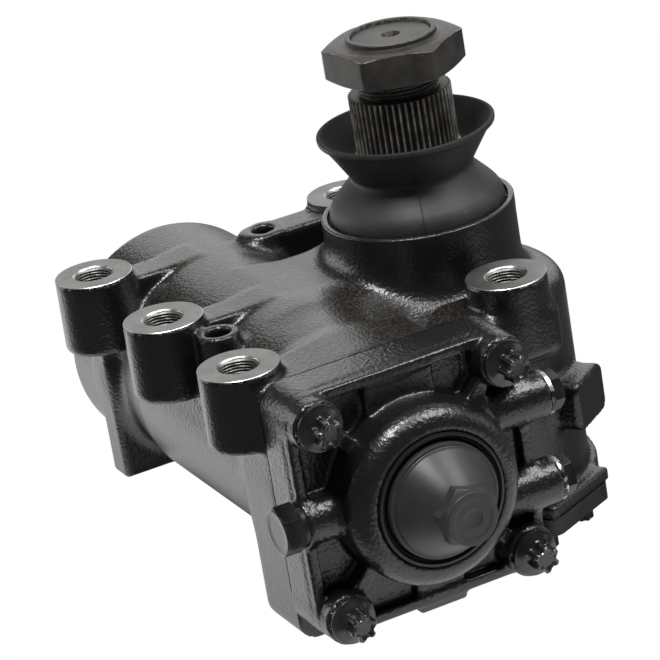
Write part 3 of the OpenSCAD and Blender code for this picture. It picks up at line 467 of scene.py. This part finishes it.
# %% Gasket
per_corner = 24
cols = 4 * per_corner
t = np.linspace(0, TAU, cols, endpoint=False)
quarter = np.floor(t / (TAU / 4)) * TAU / 4 + TAU / 8
middle = (VALVE_HALF - VALVE_CORNER) * np.sqrt(2) * np.stack([np.cos(quarter), np.sin(quarter)], -1)
arc = quarter - TAU / 8 + (t % (TAU / 4)) * per_corner / (per_corner - 1)
way = np.stack([np.cos(arc), np.sin(arc)], -1)
section = ((-0.1, 0.35), (0.7, 0.35), (0.7, -6), (-0.1, -6), (-0.1, 0.35))
rows = [np.c_[np.full(cols, FRONT + x), middle + way * (VALVE_CORNER + out) + [WORM_Y, WORM_Z]]
        for x, out in section]
gasket = new_piece("joint_gasket", np.concatenate(rows), lattice(len(section), cols), "housing")

# %% [markdown]
# ## Machined boss faces and tapped holes
#
# Each boss is milled flat, countersunk and tapped, so it shows bare metal where the rest is painted. A
# turned form gives the face. Inside the hole the radius also changes along a helix, which makes a real
# thread.

# %% Boss faces
def thread_wave(t, z, pitch):
    """A rounded ridge from 0 to 1 that climbs one pitch in a turn."""
    phase = (z / pitch - t / TAU) % 1
    return np.clip(1.6 * (1 - np.abs(2 * phase - 1)) - 0.3, 0, 1)


def tapped(t, r, z):
    """The hole's radius, with a thread between the countersink and the bottom."""
    wall = (np.abs(r - TAP_R) < 1e-6) * rise(-z, 0.9, 0.8) * rise(z, -29, 1.5)
    return r - 0.85 * wall * thread_wave(t, z, 1.5)


hole = [[TAP_R, z] for z in np.linspace(-30, -0.9, 150)]
face_profile = np.array([[0, -32], [5, -31], [TAP_R, -30.01]] + hole + [
    [10.5, -0.2], [10.75, 0], [11.0, 0.0], [15, 0.0], [19.4, 0.0], [19.7, 0.0], [20.02, -0.3], [20.0, -0.6],
    [19.2, -0.9], [16, -1.2], [10.9, -1.4], [10.7, -31.5], [5, -33], [0, -33.5]])
form = spun(face_profile, tapped, 72)
boss_faces = new_piece("boss_faces", *several(form, np.c_[BOSSES, np.zeros(len(BOSSES))]), "housing")

# %% [markdown]
# ## The rubber boot
#
# The boot keeps dirt from the sector shaft's seal. It is one rubber bell with a dished, thin-lipped rim.
# A smooth curve through a few measured points gives its outside and inside, and a slow wave keeps it from
# looking turned.

# %% Dust boot
outside = flowing([[44.4, 12.6], [44.5, 15.6], [43.9, 18.8], [42.4, 21.7], [40.1, 24.5], [37.2, 27.6],
                   [34.2, 30.8], [32.1, 33.2], [31.2, 34.7], [31.4, 36.0], [33.2, 39.0], [38.4, 47.4],
                   [41.9, 52.8], [43.3, 54.5]], 84)
lip = flowing([[43.3, 54.5], [44.5, 55.0], [44.9, 55.7], [45.0, 57.2], [44.7, 57.9], [44.0, 58.1],
               [43.2, 57.9], [42.6, 57.2]], 24)
inside = flowing([[42.6, 57.2], [40.6, 54.0], [36.4, 48.4], [32.2, 44.4], [29.0, 43.0], [27.3, 42.4],
                  [27.06, 41.0]], 34)
neck = flowing([[27.06, 41.0], [27.06, 36.0], [27.4, 33.6], [31.0, 30.4], [36.0, 26.0], [39.6, 20.6],
                [41.0, 15.0], [41.3, 12.6], [43, 12.45], [44.4, 12.6]], 44)
boot_profile = np.concatenate([outside, lip[1:], inside[1:], neck[1:]])


def moulded(t, r, z):
    """The boot's radius with a slight waviness of the rim, as soft rubber has."""
    sway = 0.22 * np.sin(2 * t + 0.6) + 0.12 * np.sin(5 * t + 2.0)
    return r + sway * rise(z, 40, 18)


points, quads = spun(boot_profile, moulded, 128)
boot = new_piece("rubber_boot", points + [0, SECTOR_Y, 0], quads, "sector")
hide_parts("dust_boot")

# %% [markdown]
# ## Hexagons that are also turned parts
#
# A nut is a hexagon bar with its corners turned off. In polar form that is short to say:
# the radius is the smaller of the hexagon's and the lathe's. Rows along the chamfer give its curved edge.

# %% Nut
def hexagon(t, flats, turn=0.0, soften=60.0):
    """Radius of a hexagon at angle t, its corners rounded by a soft minimum of its six sides."""
    sides = np.cos(t[..., None] - np.radians(turn) - np.arange(6) * np.pi / 3)
    return flats / 2 / (np.maximum(sides, 1e-6) ** soften).sum(-1) ** (1 / soften)


def hex_turned(flats, turn):
    """A shape rule: points outside the hexagon are brought in to it."""
    return lambda t, r, z: np.minimum(r, hexagon(t, flats, turn) + 0 * z)


nut_profile = legs((20.6, 87.0), (20.4, 106.8, 6), (20.8, 107.0, 3), (22.4, 107.0, 4), (22.9, 106.6, 4),
                   (23.0, 104.7, 5), (25.0, 104.0, 4), (29.6, 103.8, 6), (36.4, 102.0, 26), (36.4, 88.4, 14),
                   (30.8, 87.0, 26), (20.6, 87.0, 6))
points, quads = spun(nut_profile, hex_turned(62, 37), 216)
nut = new_piece("shaft_nut", points + [0, SECTOR_Y, 0], quads, "sector")
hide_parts("pitman_nut")

# %% [markdown]
# The plugs close the ports that aren't in use. Each is screwed down on a washer, so its head starts above
# the port.

# %% Port plugs
def plug_profile(height, flats):
    """Half section of a screwed plug: end face, turned corners, flats, washer face and shank."""
    corner, shank, washer = flats / np.sqrt(3), 7.2, 2.0
    return legs((0, height + 1.7), (flats * 0.33, height + 1.7, 5), (flats * 0.485, height + 2.0, 4),
                (corner, height + 1.3, 16), (corner, washer + 0.6, 8), (flats * 0.49, washer, 16),
                (shank, washer, 4), (shank, -13, 5), (0, -14, 1))


points, quads = spun(plug_profile(10, 22), hex_turned(22, 8), 120)
left = np.stack([points[:, 0] + PORT_X, WORM_Y + LEFT_PORT_Y - points[:, 2], points[:, 1] + WORM_Z], -1)
left_plug = new_piece("left_plug", left, quads, "housing")
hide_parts("left_port_plug")
points, quads = spun(plug_profile(6, 18), hex_turned(18, 20), 120)
right = np.stack([points[:, 0] + PORT_X, WORM_Y + RIGHT_PORT_Y + points[:, 2], points[:, 1] + WORM_Z], -1)
shifts = [[0, 0, port] for port in RIGHT_PORTS_Z]
right_plugs = new_piece("right_plugs", *several((right, quads), shifts), "housing")
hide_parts("right_port_plugs")

# %% [markdown]
# The cap keeps the input splines clean until the gear is fitted: a plastic dome with a hexagon nose and a
# dimple.

# %% Shaft cap
cap_profile = np.concatenate([
    [[27.2, 160.6], [28.3, 160.7], [28.5, 161.0]],
    legs((28.5, 161.2), (28.5, 163.8, 5))[:-1],
    flowing([[28.5, 163.8], [28.3, 164.4], [27.6, 164.7], [26.9, 164.9], [26.7, 165.4]], 9)[:-1],
    legs((26.7, 165.4), (26.7, 166.0, 3))[:-1],
    flowing([[26.7, 166.0], [26.3, 166.8], [25.0, 168.6], [22.2, 172.4], [18.8, 176.8], [15.4, 180.8],
             [12.0, 184.0], [9.0, 186.0]], 40),
    [[0, 186.5]]])
nose_profile = np.concatenate([
    [[0, 176]],
    legs((9, 176), (15.6, 176, 3), (15.6, 186.6, 12), (13.5, 188.2, 14), (13.3, 190.6, 5))[:-1],
    flowing([[13.3, 190.6], [13.1, 191.3], [12.5, 191.5]], 6)[:-1],
    legs((12.5, 191.5), (9.9, 191.5, 3), (9.4, 191.3, 3), (5.2, 191.3, 4), (4.4, 190.8, 3))[:-1],
    [[2.0, 190.7], [0, 190.7]]])
inner_profile = [[0, 182], [9.0, 182], [12.5, 178], [22, 168], [25.4, 163], [25.4, 160.6], [27.2, 160.6]]
dome, dome_quads = spun(cap_profile, None, 144)
nose, nose_quads = spun(nose_profile, hex_turned(27, 15), 144)
inner, inner_quads = spun(inner_profile, None, 144)
cap_quads = np.concatenate([dome_quads, nose_quads + len(dome), inner_quads + len(dome) + len(nose)])
cap = new_piece("shaft_cap", along_x(np.concatenate([dome, nose, inner]), 0), cap_quads, "input")
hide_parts("input_cap")

# %% [markdown]
# ## Star-headed flange bolts
#
# The head's section is a circle with six flutes. The flutes fade out where the head meets its flange,
# so one polar surface makes the whole bolt. No two bolts stop at the same angle.

# %% Bolts
def star_bolt(flange, star, head, length, shank):
    """Half section of a bolt from its crown over star, skirt and flange to the end of the shank,
    and the rule for its flutes."""
    top = legs((0, head - 1.0), (star * 0.5, head - 0.9, 4), (star * 0.74, head - 0.1, 5),
               (star * 0.86, head, 3), (star, head - 0.9, 4), (star, 5.6, 14), (star + 0.5, 5.0, 4),
               (flange - 0.9, 2.9, 6), (flange - 0.2, 2.6, 3), (flange, 2.2, 3), (flange, 0.4, 4),
               (flange - 0.3, 0.0, 3), (shank, -0.05, 3))
    profile = np.concatenate([top[:-1], legs((shank, -0.1), (shank, -length, 4), (0, -length, 1))])

    def fluted(t, r, z):
        wave = np.clip(0.5 - 0.72 * np.cos(6 * t), 0, 1)
        reach = rise(z, 4.8, 1.2) * rise(r / star, 0.45, 0.55)
        return r - 0.26 * star * wave * reach
    return profile, fluted


def turned_by(points, a):
    """Points turned about Z by a radians."""
    return points @ np.array([[np.cos(a), np.sin(a), 0], [-np.sin(a), np.cos(a), 0], [0, 0, 1]])


points, quads = spun(*star_bolt(11.5, 6.9, 14.0, 49, 5.9), 144)
stops = zip((0.2, 0.75, 0.5, 0.1), BOLT_SQUARE)
heads = np.concatenate([along_x(turned_by(points, a), BOLT_SEAT) + [0, *place] for a, place in stops])
head_quads = np.concatenate([quads + i * len(points) for i in range(len(BOLT_SQUARE))])
valve_bolts = new_piece("valve_bolts", heads, head_quads, "housing")
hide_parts("valve_housing_bolts")

points, quads = spun(*star_bolt(8.0, 4.8, 11.0, 14.5, 3.9), 72)
cover_bolt_count, cover_bolt_ring, cover_thickness = 12, 65, 9
angles = np.radians(12 + 360 / cover_bolt_count * np.arange(cover_bolt_count))
places = np.stack([cover_bolt_ring * np.cos(angles), SECTOR_Y + cover_bolt_ring * np.sin(angles),
                   np.full(cover_bolt_count, COVER_Z - cover_thickness)], -1)
cover_bolts = new_piece("cover_bolts", *several((points * [1, -1, -1], quads), places), "housing")
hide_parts("side_cover_bolts")

# %% [markdown]
# ## Thread under the nut and seal lip
#
# Small parts that catch light: the last turns of the shaft's thread, and the ring of the input seal with
# its two lips.

# %% Small turned parts
THREAD_ROOT = 19.75
turns = np.concatenate([[[12, 76.6], [19.0, 76.7]], legs((THREAD_ROOT, 77.2), (THREAD_ROOT, 89.0, 110))[:-1],
                        [[19.0, 89.2], [12, 89.3]]])


def threaded(t, r, z):
    """The shaft's radius, with a thread ridge on the stretch that has the root's radius."""
    return r + (np.abs(r - THREAD_ROOT) < 1e-6) * 0.95 * thread_wave(t, z, 2.0)


points, quads = spun(turns, threaded, 120)
shaft_thread = new_piece("shaft_thread", points + [0, SECTOR_Y, 0], quads, "sector")
seal_profile = flowing([[12.5, 155], [32.9, 155], [33.0, 161.4], [32.6, 162.3], [31.6, 162.5], [31.0, 161.9],
                        [30.6, 160.6], [30.0, 160.2], [29.4, 160.6], [29.2, 159.6], [28.0, 158.6],
                        [20, 158.3], [12.5, 158.0], [12.5, 155]], 80)
points, quads = spun(seal_profile, None, 128)
seal_ring = new_piece("seal_ring", along_x(points, 0), quads, "housing")
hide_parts("input_seal")

# %% [markdown]
# ## Shader arithmetic in plain Python
#
# A procedural finish is mostly sums and products of noises. One small class wraps a number that changes
# over a surface, so that an expression such as 1 - mask adds the Math nodes by itself. Every other node
# comes from one method.

# %% Finish tools
class Signal:
    """A value that varies over a surface. Arithmetic on it adds Math nodes."""

    def __init__(self, finish, socket):
        self.finish, self.socket = finish, socket

    def math(self, operation, a, b=0.0):
        return self.finish.add("ShaderNodeMath", {"operation": operation}, {0: a, 1: b})

    def __add__(self, other):
        return self.math("ADD", self, other)

    def __sub__(self, other):
        return self.math("SUBTRACT", self, other)

    def __rsub__(self, other):
        return self.math("SUBTRACT", other, self)

    def __mul__(self, other):
        return self.math("MULTIPLY", self, other)

    __radd__, __rmul__ = __add__, __mul__

    def ramp(self, low, high):
        """0 below low, 1 above high, with a soft step between them."""
        step = {"interpolation_type": "SMOOTHSTEP"}
        return self.finish.add("ShaderNodeMapRange", step, {0: self, 1: low, 2: high})


class Finish:
    """A material under construction, read from the piece's own Object coordinates."""

    def __init__(self, name):
        self.material = bpy.data.materials.new(name)
        self.material.use_nodes = True
        self.tree = self.material.node_tree
        self.shader = self.tree.nodes["Principled BSDF"]
        self.place = self.add("ShaderNodeTexCoord", out="Object")

    def add(self, kind, settings=None, sockets=None, out=0):
        """Adds a node: first its settings, then values or links of its sockets. Returns one output."""
        node = self.tree.nodes.new(kind)
        for key, value in (settings or {}).items():
            setattr(node, key, value)
        for key, value in (sockets or {}).items():
            self.feed(node.inputs[key], value)
        return Signal(self, node.outputs[out])

    def feed(self, socket, value):
        if isinstance(value, Signal):
            self.tree.links.new(value.socket, socket)
        else:
            socket.default_value = value

    def noise(self, size, detail=3.0, rough=0.55):
        """Noise with features of about size millimetres, from 0 to 1."""
        sockets = {"Vector": self.place, "Scale": 1000 / size, "Detail": detail, "Roughness": rough}
        return self.add("ShaderNodeTexNoise", None, sockets)

    def axis(self, letter):
        """The place along X, Y or Z, in metres."""
        return self.add("ShaderNodeSeparateXYZ", None, {0: self.place}, letter)

    def from_sector(self):
        """Distance from the sector shaft's axis, in metres."""
        flat = self.add("ShaderNodeVectorMath", {"operation": "MULTIPLY"}, {0: self.place, 1: (1, 1, 0)})
        axis = (0, SECTOR_Y / 1000, 0)
        return self.add("ShaderNodeVectorMath", {"operation": "DISTANCE"}, {0: flat, 1: axis}, "Value")

    def stored(self, name):
        """A value that the mesh helper stored with each point."""
        return self.add("ShaderNodeAttribute", {"attribute_name": name}, None, "Fac")

    def edges(self):
        """Above 0.5 on ridges, below it in hollows. It needs a dense mesh."""
        return self.add("ShaderNodeNewGeometry", out="Pointiness")

    def blend(self, share, a, b):
        """Colour a where share is 0 and b where it is 1."""
        colours = [c if isinstance(c, Signal) else (*c, 1) for c in (a, b)]
        return self.add("ShaderNodeMix", {"data_type": "RGBA"}, {0: share, 6: colours[0], 7: colours[1]}, 2)

    def bump(self, height, depth, under=None):
        """Bends the normal by a height from 0 to 1, worth depth millimetres."""
        sockets = {"Height": height, "Distance": depth / 1000, "Strength": 1.0}
        if under:
            sockets["Normal"] = under
        return self.add("ShaderNodeBump", None, sockets)

    def soften(self, radius):
        """The normal with hard edges rounded over radius millimetres, for parts straight from CAD."""
        return self.add("ShaderNodeBevel", {"samples": 6}, {"Radius": radius / 1000})

    def done(self, **sockets):
        """Sets the shader's own sockets, written with _ for a space."""
        for key, value in sockets.items():
            self.feed(self.shader.inputs[key.replace("_", " ")], value)
        print("finish:", self.material.name, len(self.tree.nodes), "nodes")
        return self.material


# %% [markdown]
# ## Black paint over cast iron
#
# Paint on a sand casting is satin and follows the sand's grain. The grain is noise in the bump, one to two
# millimetres wide: finer noise would only blur the shine, while this size breaks it into small glints.
# Dust lies on what looks up, painted shade darkens the hollows, and oil changes the shine in large patches.

# %% Housing paint
# The darkest black is the gasket paper's own colour, and also the painted shade in the hollows.
BLACK, SOOT_AND_SHADE, DUST = (0.004, 0.004, 0.0043), (0.002, 0.002, 0.002), (0.055, 0.047, 0.038)
paint = Finish("housing_paint")
deck = paint.stored("up").ramp(0.55, 0.95)
grain = paint.noise(1.6, 1, 0.5)
lumps = paint.noise(6, 3, 0.5)
patches = paint.noise(60, 4, 0.6)
# Painted shade: hollows, found by pointiness, are darkened towards the darkest black.
painted_hollow_shade = 1 - paint.edges().ramp(0.42, 0.5)
tone = paint.blend(patches.ramp(0.3, 0.75), BLACK, (0.009, 0.0088, 0.0086))
tone = paint.blend(deck * (0.05 + grain.ramp(0.4, 0.7) * 0.75), tone, DUST)
tone = paint.blend(painted_hollow_shade * 0.6, tone, SOOT_AND_SHADE)
relief = paint.bump(lumps, 0.08, paint.bump(grain.ramp(0.25, 0.75), 0.11))
housing_paint = paint.done(Base_Color=tone, Roughness=0.25 + patches * 0.1, Normal=relief,
                           Specular_IOR_Level=0.7)

# %% [markdown]
# The valve housing has a thicker, glossier coat, which dried with a slight wrinkle.

# %% Valve paint
valve = Finish("valve_paint")
wrinkle = valve.noise(2.1, 1, 0.5)
lumps = valve.noise(5, 2, 0.5)
patches = valve.noise(45, 3, 0.6)
# Painted shade: the valve housing's hollows are darkened too, more lightly.
painted_hollow_shade = 1 - valve.edges().ramp(0.40, 0.5)
tone = valve.blend(patches, (0.004, 0.004, 0.0044), (0.009, 0.009, 0.0094))
tone = valve.blend(painted_hollow_shade * 0.4, tone, SOOT_AND_SHADE)
relief = valve.bump(lumps, 0.08, valve.bump(wrinkle.ramp(0.25, 0.75), 0.15))
valve_paint = valve.done(Base_Color=tone, Roughness=0.27 + patches * 0.08, Normal=relief,
                         Specular_IOR_Level=0.8)

# %% [markdown]
# ## Bare, phosphated and coated metal
#
# Phosphate is a dull, brownish grey. Coated bolts are nearly black, with a soft shine.
# On both, handling wears the outer edges down to bare steel.

# %% Metals
BARE = (0.45, 0.43, 0.40)


def steel(name, dark, light, roughness, metallic=1.0, grain_mm=0.6, depth=0.03, edge_mm=0.0, worn=0.0):
    """A metal with two tones, a fine grain, worn rims and, on parts straight from CAD, softened edges."""
    metal = Finish(name)
    grain = metal.noise(grain_mm, 3, 0.6)
    patches = metal.noise(14, 4, 0.6)
    under = metal.soften(edge_mm) if edge_mm else None
    tone = metal.blend(patches.ramp(0.3, 0.7), dark, light)
    if worn:
        rim = metal.stored("rim").ramp(0.02, 0.12)
        tone = metal.blend(rim * metal.noise(4, 4, 0.7).ramp(0.4, 0.6) * worn, tone, BARE)
    return metal.done(Base_Color=tone, Metallic=metallic,
                      Roughness=roughness + patches * 0.14 - 0.07, Normal=metal.bump(grain, depth, under))


phosphate = steel("phosphate", (0.045, 0.043, 0.040), (0.090, 0.083, 0.074), 0.46, 0.6, 1.2, 0.05, worn=0.8)
coated = steel("coated_bolts", (0.045, 0.045, 0.0465), (0.095, 0.095, 0.096), 0.22, 0.8, 1.0, worn=0.5)
plugs = steel("coated_plugs", (0.012, 0.012, 0.0125), (0.030, 0.030, 0.031), 0.26, 0.4, 1.0, worn=0.4)
bright = steel("bright_steel", (0.55, 0.55, 0.56), (0.75, 0.75, 0.76), 0.25, 1.0, 0.6, 0.02, 0.2)
ground = steel("ground_steel", (0.42, 0.42, 0.43), (0.55, 0.55, 0.56), 0.28, 1.0, 0.4, 0.01, 0.2)
cover_paint = steel("cover_paint", (0.010, 0.010, 0.0105), (0.022, 0.022, 0.022), 0.36, 0.0, 1.6, 0.2, 1.2)

# %% [markdown]
# ## Milled faces
#
# The cutter leaves a fine, even grain, and handling polishes the thin chamfer round each face and hole.
# Points on a chamfer look neither up nor sideways, and that picks the polished rim. The threads below are
# left out.

# %% Milled iron
mill = Finish("milled_iron")
upward = mill.stored("up")
level = mill.axis("Z").ramp(-0.0010, -0.0006)
rim = upward.ramp(0.08, 0.3) * (1 - upward.ramp(0.9, 0.995)) * level
patches = mill.noise(14, 4, 0.6)
tone = mill.blend(patches.ramp(0.3, 0.7), (0.18, 0.177, 0.170), (0.27, 0.264, 0.253))
milled = mill.done(Base_Color=mill.blend(rim * 0.9, tone, (0.55, 0.54, 0.52)), Metallic=1.0,
                   Roughness=0.40 + patches * 0.14 - rim * 0.12,
                   Normal=mill.bump(mill.noise(0.5, 3, 0.6), 0.03))

# %% [markdown]
# ## Washers half under paint
#
# The housing was painted with its plugs in, so paint covers the washers. On the right pair it has chipped
# off.

# %% Painted washers
washer = Finish("painted_washers")
chips = washer.noise(9, 4, 0.65).ramp(0.46, 0.52) * washer.axis("Y").ramp(0.0, 0.02)
tone = washer.blend(chips, (0.010, 0.010, 0.0105), (0.80, 0.80, 0.79))
washed = washer.done(Base_Color=tone, Metallic=chips * 0.9, Roughness=0.28 + washer.noise(2) * 0.08,
                     Normal=washer.soften(0.2))

# %% [markdown]
# ## The serrated end
#
# Arms have been pressed on and pulled off the serration, so its ridges are worn bright, while oil and a
# little rust stay in the roots. The distance from the shaft's axis tells ridge from root.

# %% Shaft steel
shaft = Finish("shaft_steel")
reach = shaft.from_sector()
worn = reach.ramp(0.0250, 0.02595) * (0.35 + shaft.noise(7, 4, 0.7).ramp(0.35, 0.65) * 0.65)
roots = (1 - reach.ramp(0.0245, 0.0256)) * reach.ramp(0.0215, 0.0235)
rust = shaft.noise(9, 5, 0.7).ramp(0.5, 0.68) * roots
tone = shaft.blend(shaft.noise(14, 4, 0.6).ramp(0.3, 0.7), (0.030, 0.028, 0.026), (0.060, 0.056, 0.050))
tone = shaft.blend(rust * 0.7, tone, (0.075, 0.030, 0.014))
tone = shaft.blend(worn, tone, (0.50, 0.47, 0.42))
shaft_steel = shaft.done(Base_Color=tone, Metallic=0.55 - worn * 0.25, Roughness=0.42 - worn * 0.1,
                         Normal=shaft.bump(shaft.noise(0.9, 3, 0.6), 0.05, shaft.soften(0.15)))

# %% [markdown]
# ## Rubber and plastic
#
# The boot is dull rubber with a bloom, pale scuffs and the fine seam of its mould. Its dish gets painted
# shade:
# darker and duller where the surface is higher than a cone about the shaft.

# %% Boot rubber
rubber = Finish("boot_rubber")
bloom = rubber.noise(25, 5, 0.65)
specks = rubber.noise(1.8, 2, 0.6)
height = rubber.axis("Z")
# Painted shade: the dish inside the rim is darkened and dulled where shade would fall.
painted_dish_shade = (height - rubber.from_sector() * 1.25).ramp(0.0010, 0.0022) * height.ramp(0.040, 0.042)
seam_x, seam_y = 0.39, 0.92
across = rubber.add("ShaderNodeVectorMath", {"operation": "DOT_PRODUCT"},
                    {0: rubber.place, 1: (seam_x, seam_y, 0)}, "Value")
across = across - seam_y * SECTOR_Y / 1000
seam = 1 - across.math("ABSOLUTE", across).ramp(0.00008, 0.0005)
scuff = rubber.noise(16, 7, 0.78).ramp(0.55, 0.72) * (1 - painted_dish_shade)
tone = rubber.blend(bloom.ramp(0.35, 0.75), (0.020, 0.020, 0.0212), (0.034, 0.034, 0.0355))
tone = rubber.blend(painted_dish_shade * 0.8, tone, (0.004, 0.004, 0.004))
tone = rubber.blend(scuff * 0.5, tone, (0.075, 0.075, 0.078))
tone = rubber.blend(seam * 0.6, tone, (0.010, 0.010, 0.010))
boot_rubber = rubber.done(Base_Color=tone, Roughness=0.46 + bloom * 0.14 + painted_dish_shade * 0.25,
                          Normal=rubber.bump(specks * 0.06 + seam * 0.25, 1.0),
                          Specular_IOR_Level=0.5)

# %% [markdown]
# The gasket is black and dull, the seal's lips are oiled rubber, and the cap is moulded plastic with
# small scuffs.

# %% Gasket, seal and cap
paper = Finish("gasket_paper")
gasket_paper = paper.done(Base_Color=paper.blend(paper.noise(4), SOOT_AND_SHADE, (0.006, 0.006, 0.006)),
                          Roughness=0.75 + paper.noise(2) * 0.15, Specular_IOR_Level=0.1)
lips = Finish("seal_rubber")
seal_rubber = lips.done(Base_Color=lips.blend(lips.noise(6), (0.006, 0.006, 0.006), (0.016, 0.016, 0.016)),
                        Roughness=0.3 + lips.noise(3) * 0.1)
plastic = Finish("cap_plastic")
scuffs = plastic.noise(5, 6, 0.7)
haze = plastic.noise(30, 3, 0.6)
tone = plastic.blend(haze.ramp(0.3, 0.7), (0.024, 0.024, 0.0246), (0.042, 0.0415, 0.041))
cap_plastic = plastic.done(Base_Color=tone, Roughness=0.36 + haze * 0.12, Normal=plastic.bump(scuffs, 0.08))

# %% [markdown]
# ## Which piece wears which finish
#
# New pieces get their finish on the mesh. CAD nodes keep their own slots, which are filled here.
# What isn't named is ground steel inside the gear.

# %% Dress every piece
dress = {
    housing_paint: [housing_skin, hub_rim], valve_paint: [valve_skin], milled: [boss_faces],
    boot_rubber: [boot], phosphate: [nut, shaft_thread], plugs: [left_plug, right_plugs],
    coated: [valve_bolts, cover_bolts], seal_rubber: [seal_ring], gasket_paper: [gasket], cap_plastic: [cap]}
cad_dress = {
    cover_paint: ["side_cover"], washed: ["port_washers"], bright: ["adjuster_screw", "adjuster_lock_nut"],
    shaft_steel: ["sector_shaft"],
    seal_rubber: ["valve_housing_seal", "side_cover_seal", "sector_shaft_seal", "piston_seal_ring"]}
for material, pieces in dress.items():
    for piece in pieces:
        piece.data.materials.clear()
        piece.data.materials.append(material)
named = {node: material for material, nodes in cad_dress.items() for node in nodes}
for node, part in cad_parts.items():
    for slot in part.material_slots:
        slot.material = named.get(node, ground)
print("dressed", sum(map(len, dress.values())), "new pieces and", len(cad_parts), "CAD nodes")

# %% [markdown]
# ## The studio floor
#
# The object is black, so its shape is told by what it reflects. The camera sees the floor as white.
# Mirrored in the paint, the floor is bright in a band that runs back from the part, brightest on its left,
# and dark elsewhere, also right under the part. Only those two kinds of rays see the glow,
# so it adds no light to dull surfaces.

# %% Floor
ground_z = float(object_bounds()[0][2])
floor_reach, floor_gap = 30.0, 0.0005
corners = np.array([[-1, -1], [1, -1], [1, 1], [-1, 1]]) * floor_reach
floor_mesh = bpy.data.meshes.new("floor")
floor_mesh.from_pydata(np.c_[corners, np.full(4, ground_z - floor_gap)].tolist(), [], [[0, 1, 2, 3]])
floor = bpy.data.objects.new("floor", floor_mesh)
bpy.context.scene.collection.objects.link(floor)
white = Finish("pale_floor")
east, north = white.axis("X"), white.axis("Y")
lit = (north - east * 0.44).ramp(-0.24, -0.14) * (1 - east.ramp(0.2, 0.8)) * (1 - north.ramp(0.2, 0.4))
under = east.ramp(-0.20, -0.13) * (1 - east.ramp(0.06, 0.15)) * north.ramp(-0.085, -0.05)
left_side = 1 - north.ramp(-0.2, -0.07)
lamp = white.blend(left_side, (1.0, 1.0, 1.0), (1.9, 1.9, 1.9))
pool = white.blend(lit * (1 - under), (0.13, 0.13, 0.13), lamp)
direct = white.add("ShaderNodeLightPath", out="Is Camera Ray")
mirrored = white.add("ShaderNodeLightPath", out="Is Glossy Ray")
glow = white.add("ShaderNodeEmission", None,
                 {"Color": white.blend(direct, pool, (1.0, 1.0, 1.0)), "Strength": 1.0})
plain = Signal(white, white.shader.outputs[0])
mixed = white.add("ShaderNodeMixShader", None,
                  {0: direct.math("MAXIMUM", direct, mirrored), 1: plain, 2: glow})
white.feed(white.tree.nodes["Material Output"].inputs["Surface"], mixed)
floor_mesh.materials.append(white.done(Base_Color=(0.75, 0.75, 0.75, 1), Roughness=0.9))

# %% [markdown]
# ## Light
#
# The world is a dim grey for the object and white for the camera. Six soft lights stand round the part: a
# wide one behind, a small key light above for the glints, a larger one above at the right, and weak ones
# at the sides.

# %% World and lights
world = bpy.data.worlds.new("studio")
bpy.context.scene.world = world
world.use_nodes = True
sky = world.node_tree
path = sky.nodes.new("ShaderNodeLightPath")
shade = sky.nodes.new("ShaderNodeMix")
shade.data_type = "RGBA"
shade.inputs[6].default_value = (0.07, 0.07, 0.072, 1)
shade.inputs[7].default_value = (1, 1, 1, 1)
sky.links.new(path.outputs["Is Camera Ray"], shade.inputs[0])
sky.links.new(shade.outputs[2], sky.nodes["Background"].inputs["Color"])


def placed(thing, right, up, back, place):
    """Sets an object's axes and place, and adds it to the scene."""
    turn = np.eye(4)
    turn[:3] = np.stack([right, up, back, place], -1)
    thing.matrix_world = Matrix(turn.tolist())
    bpy.context.scene.collection.objects.link(thing)


def soft_light(name, place, size, power, tall):
    """A rectangular light at place, looking at the part's middle, in metres and watts."""
    data = bpy.data.lights.new(name, "AREA")
    data.shape, data.size, data.size_y, data.energy = "RECTANGLE", size, tall, power
    aim = np.array(place) - np.array((0.0, 0.02, -0.03))
    back = aim / np.linalg.norm(aim)
    right = np.cross([0, 0, 1], back)
    right = right / np.linalg.norm(right)
    placed(bpy.data.objects.new(name, data), right, np.cross(back, right), back, place)


soft_light("back", (-1.85, 1.2, 0.95), 2.6, 21, 2.0)
soft_light("left", (-1.3, -1.6, 0.9), 1.0, 6, 0.7)
soft_light("key", (0.42, -0.38, 1.8), 0.5, 27, 0.5)
soft_light("top", (0.75, 1.0, 1.85), 1.1, 30, 0.9)
soft_light("low", (-1.8, -1.15, 0.2), 1.2, 5, 0.7)
soft_light("right", (0.5, 1.9, 0.8), 1.2, 5, 1.6)
print("lights:", len(bpy.data.lights))

# %% [markdown]
# ## Camera
#
# A long lens from the front left keeps the square flange nearly square. Two directions and a place set
# the camera.

# %% Camera
camera_data = bpy.data.cameras.new("camera")
camera_data.sensor_width, camera_data.lens, camera_data.clip_end = 36.0, 194.0, 60.0
camera = bpy.data.objects.new("camera", camera_data)
right = np.array([0.45180, 0.87847, -0.15546])
forward = np.array([-0.85230, 0.37355, -0.36613])
placed(camera, right, np.cross(right, forward), -forward, (1.5244, -0.6540, 0.6198))
bpy.context.scene.camera = camera
bpy.context.scene.view_settings.view_transform = "Standard"
print("camera lens", camera_data.lens, "mm")
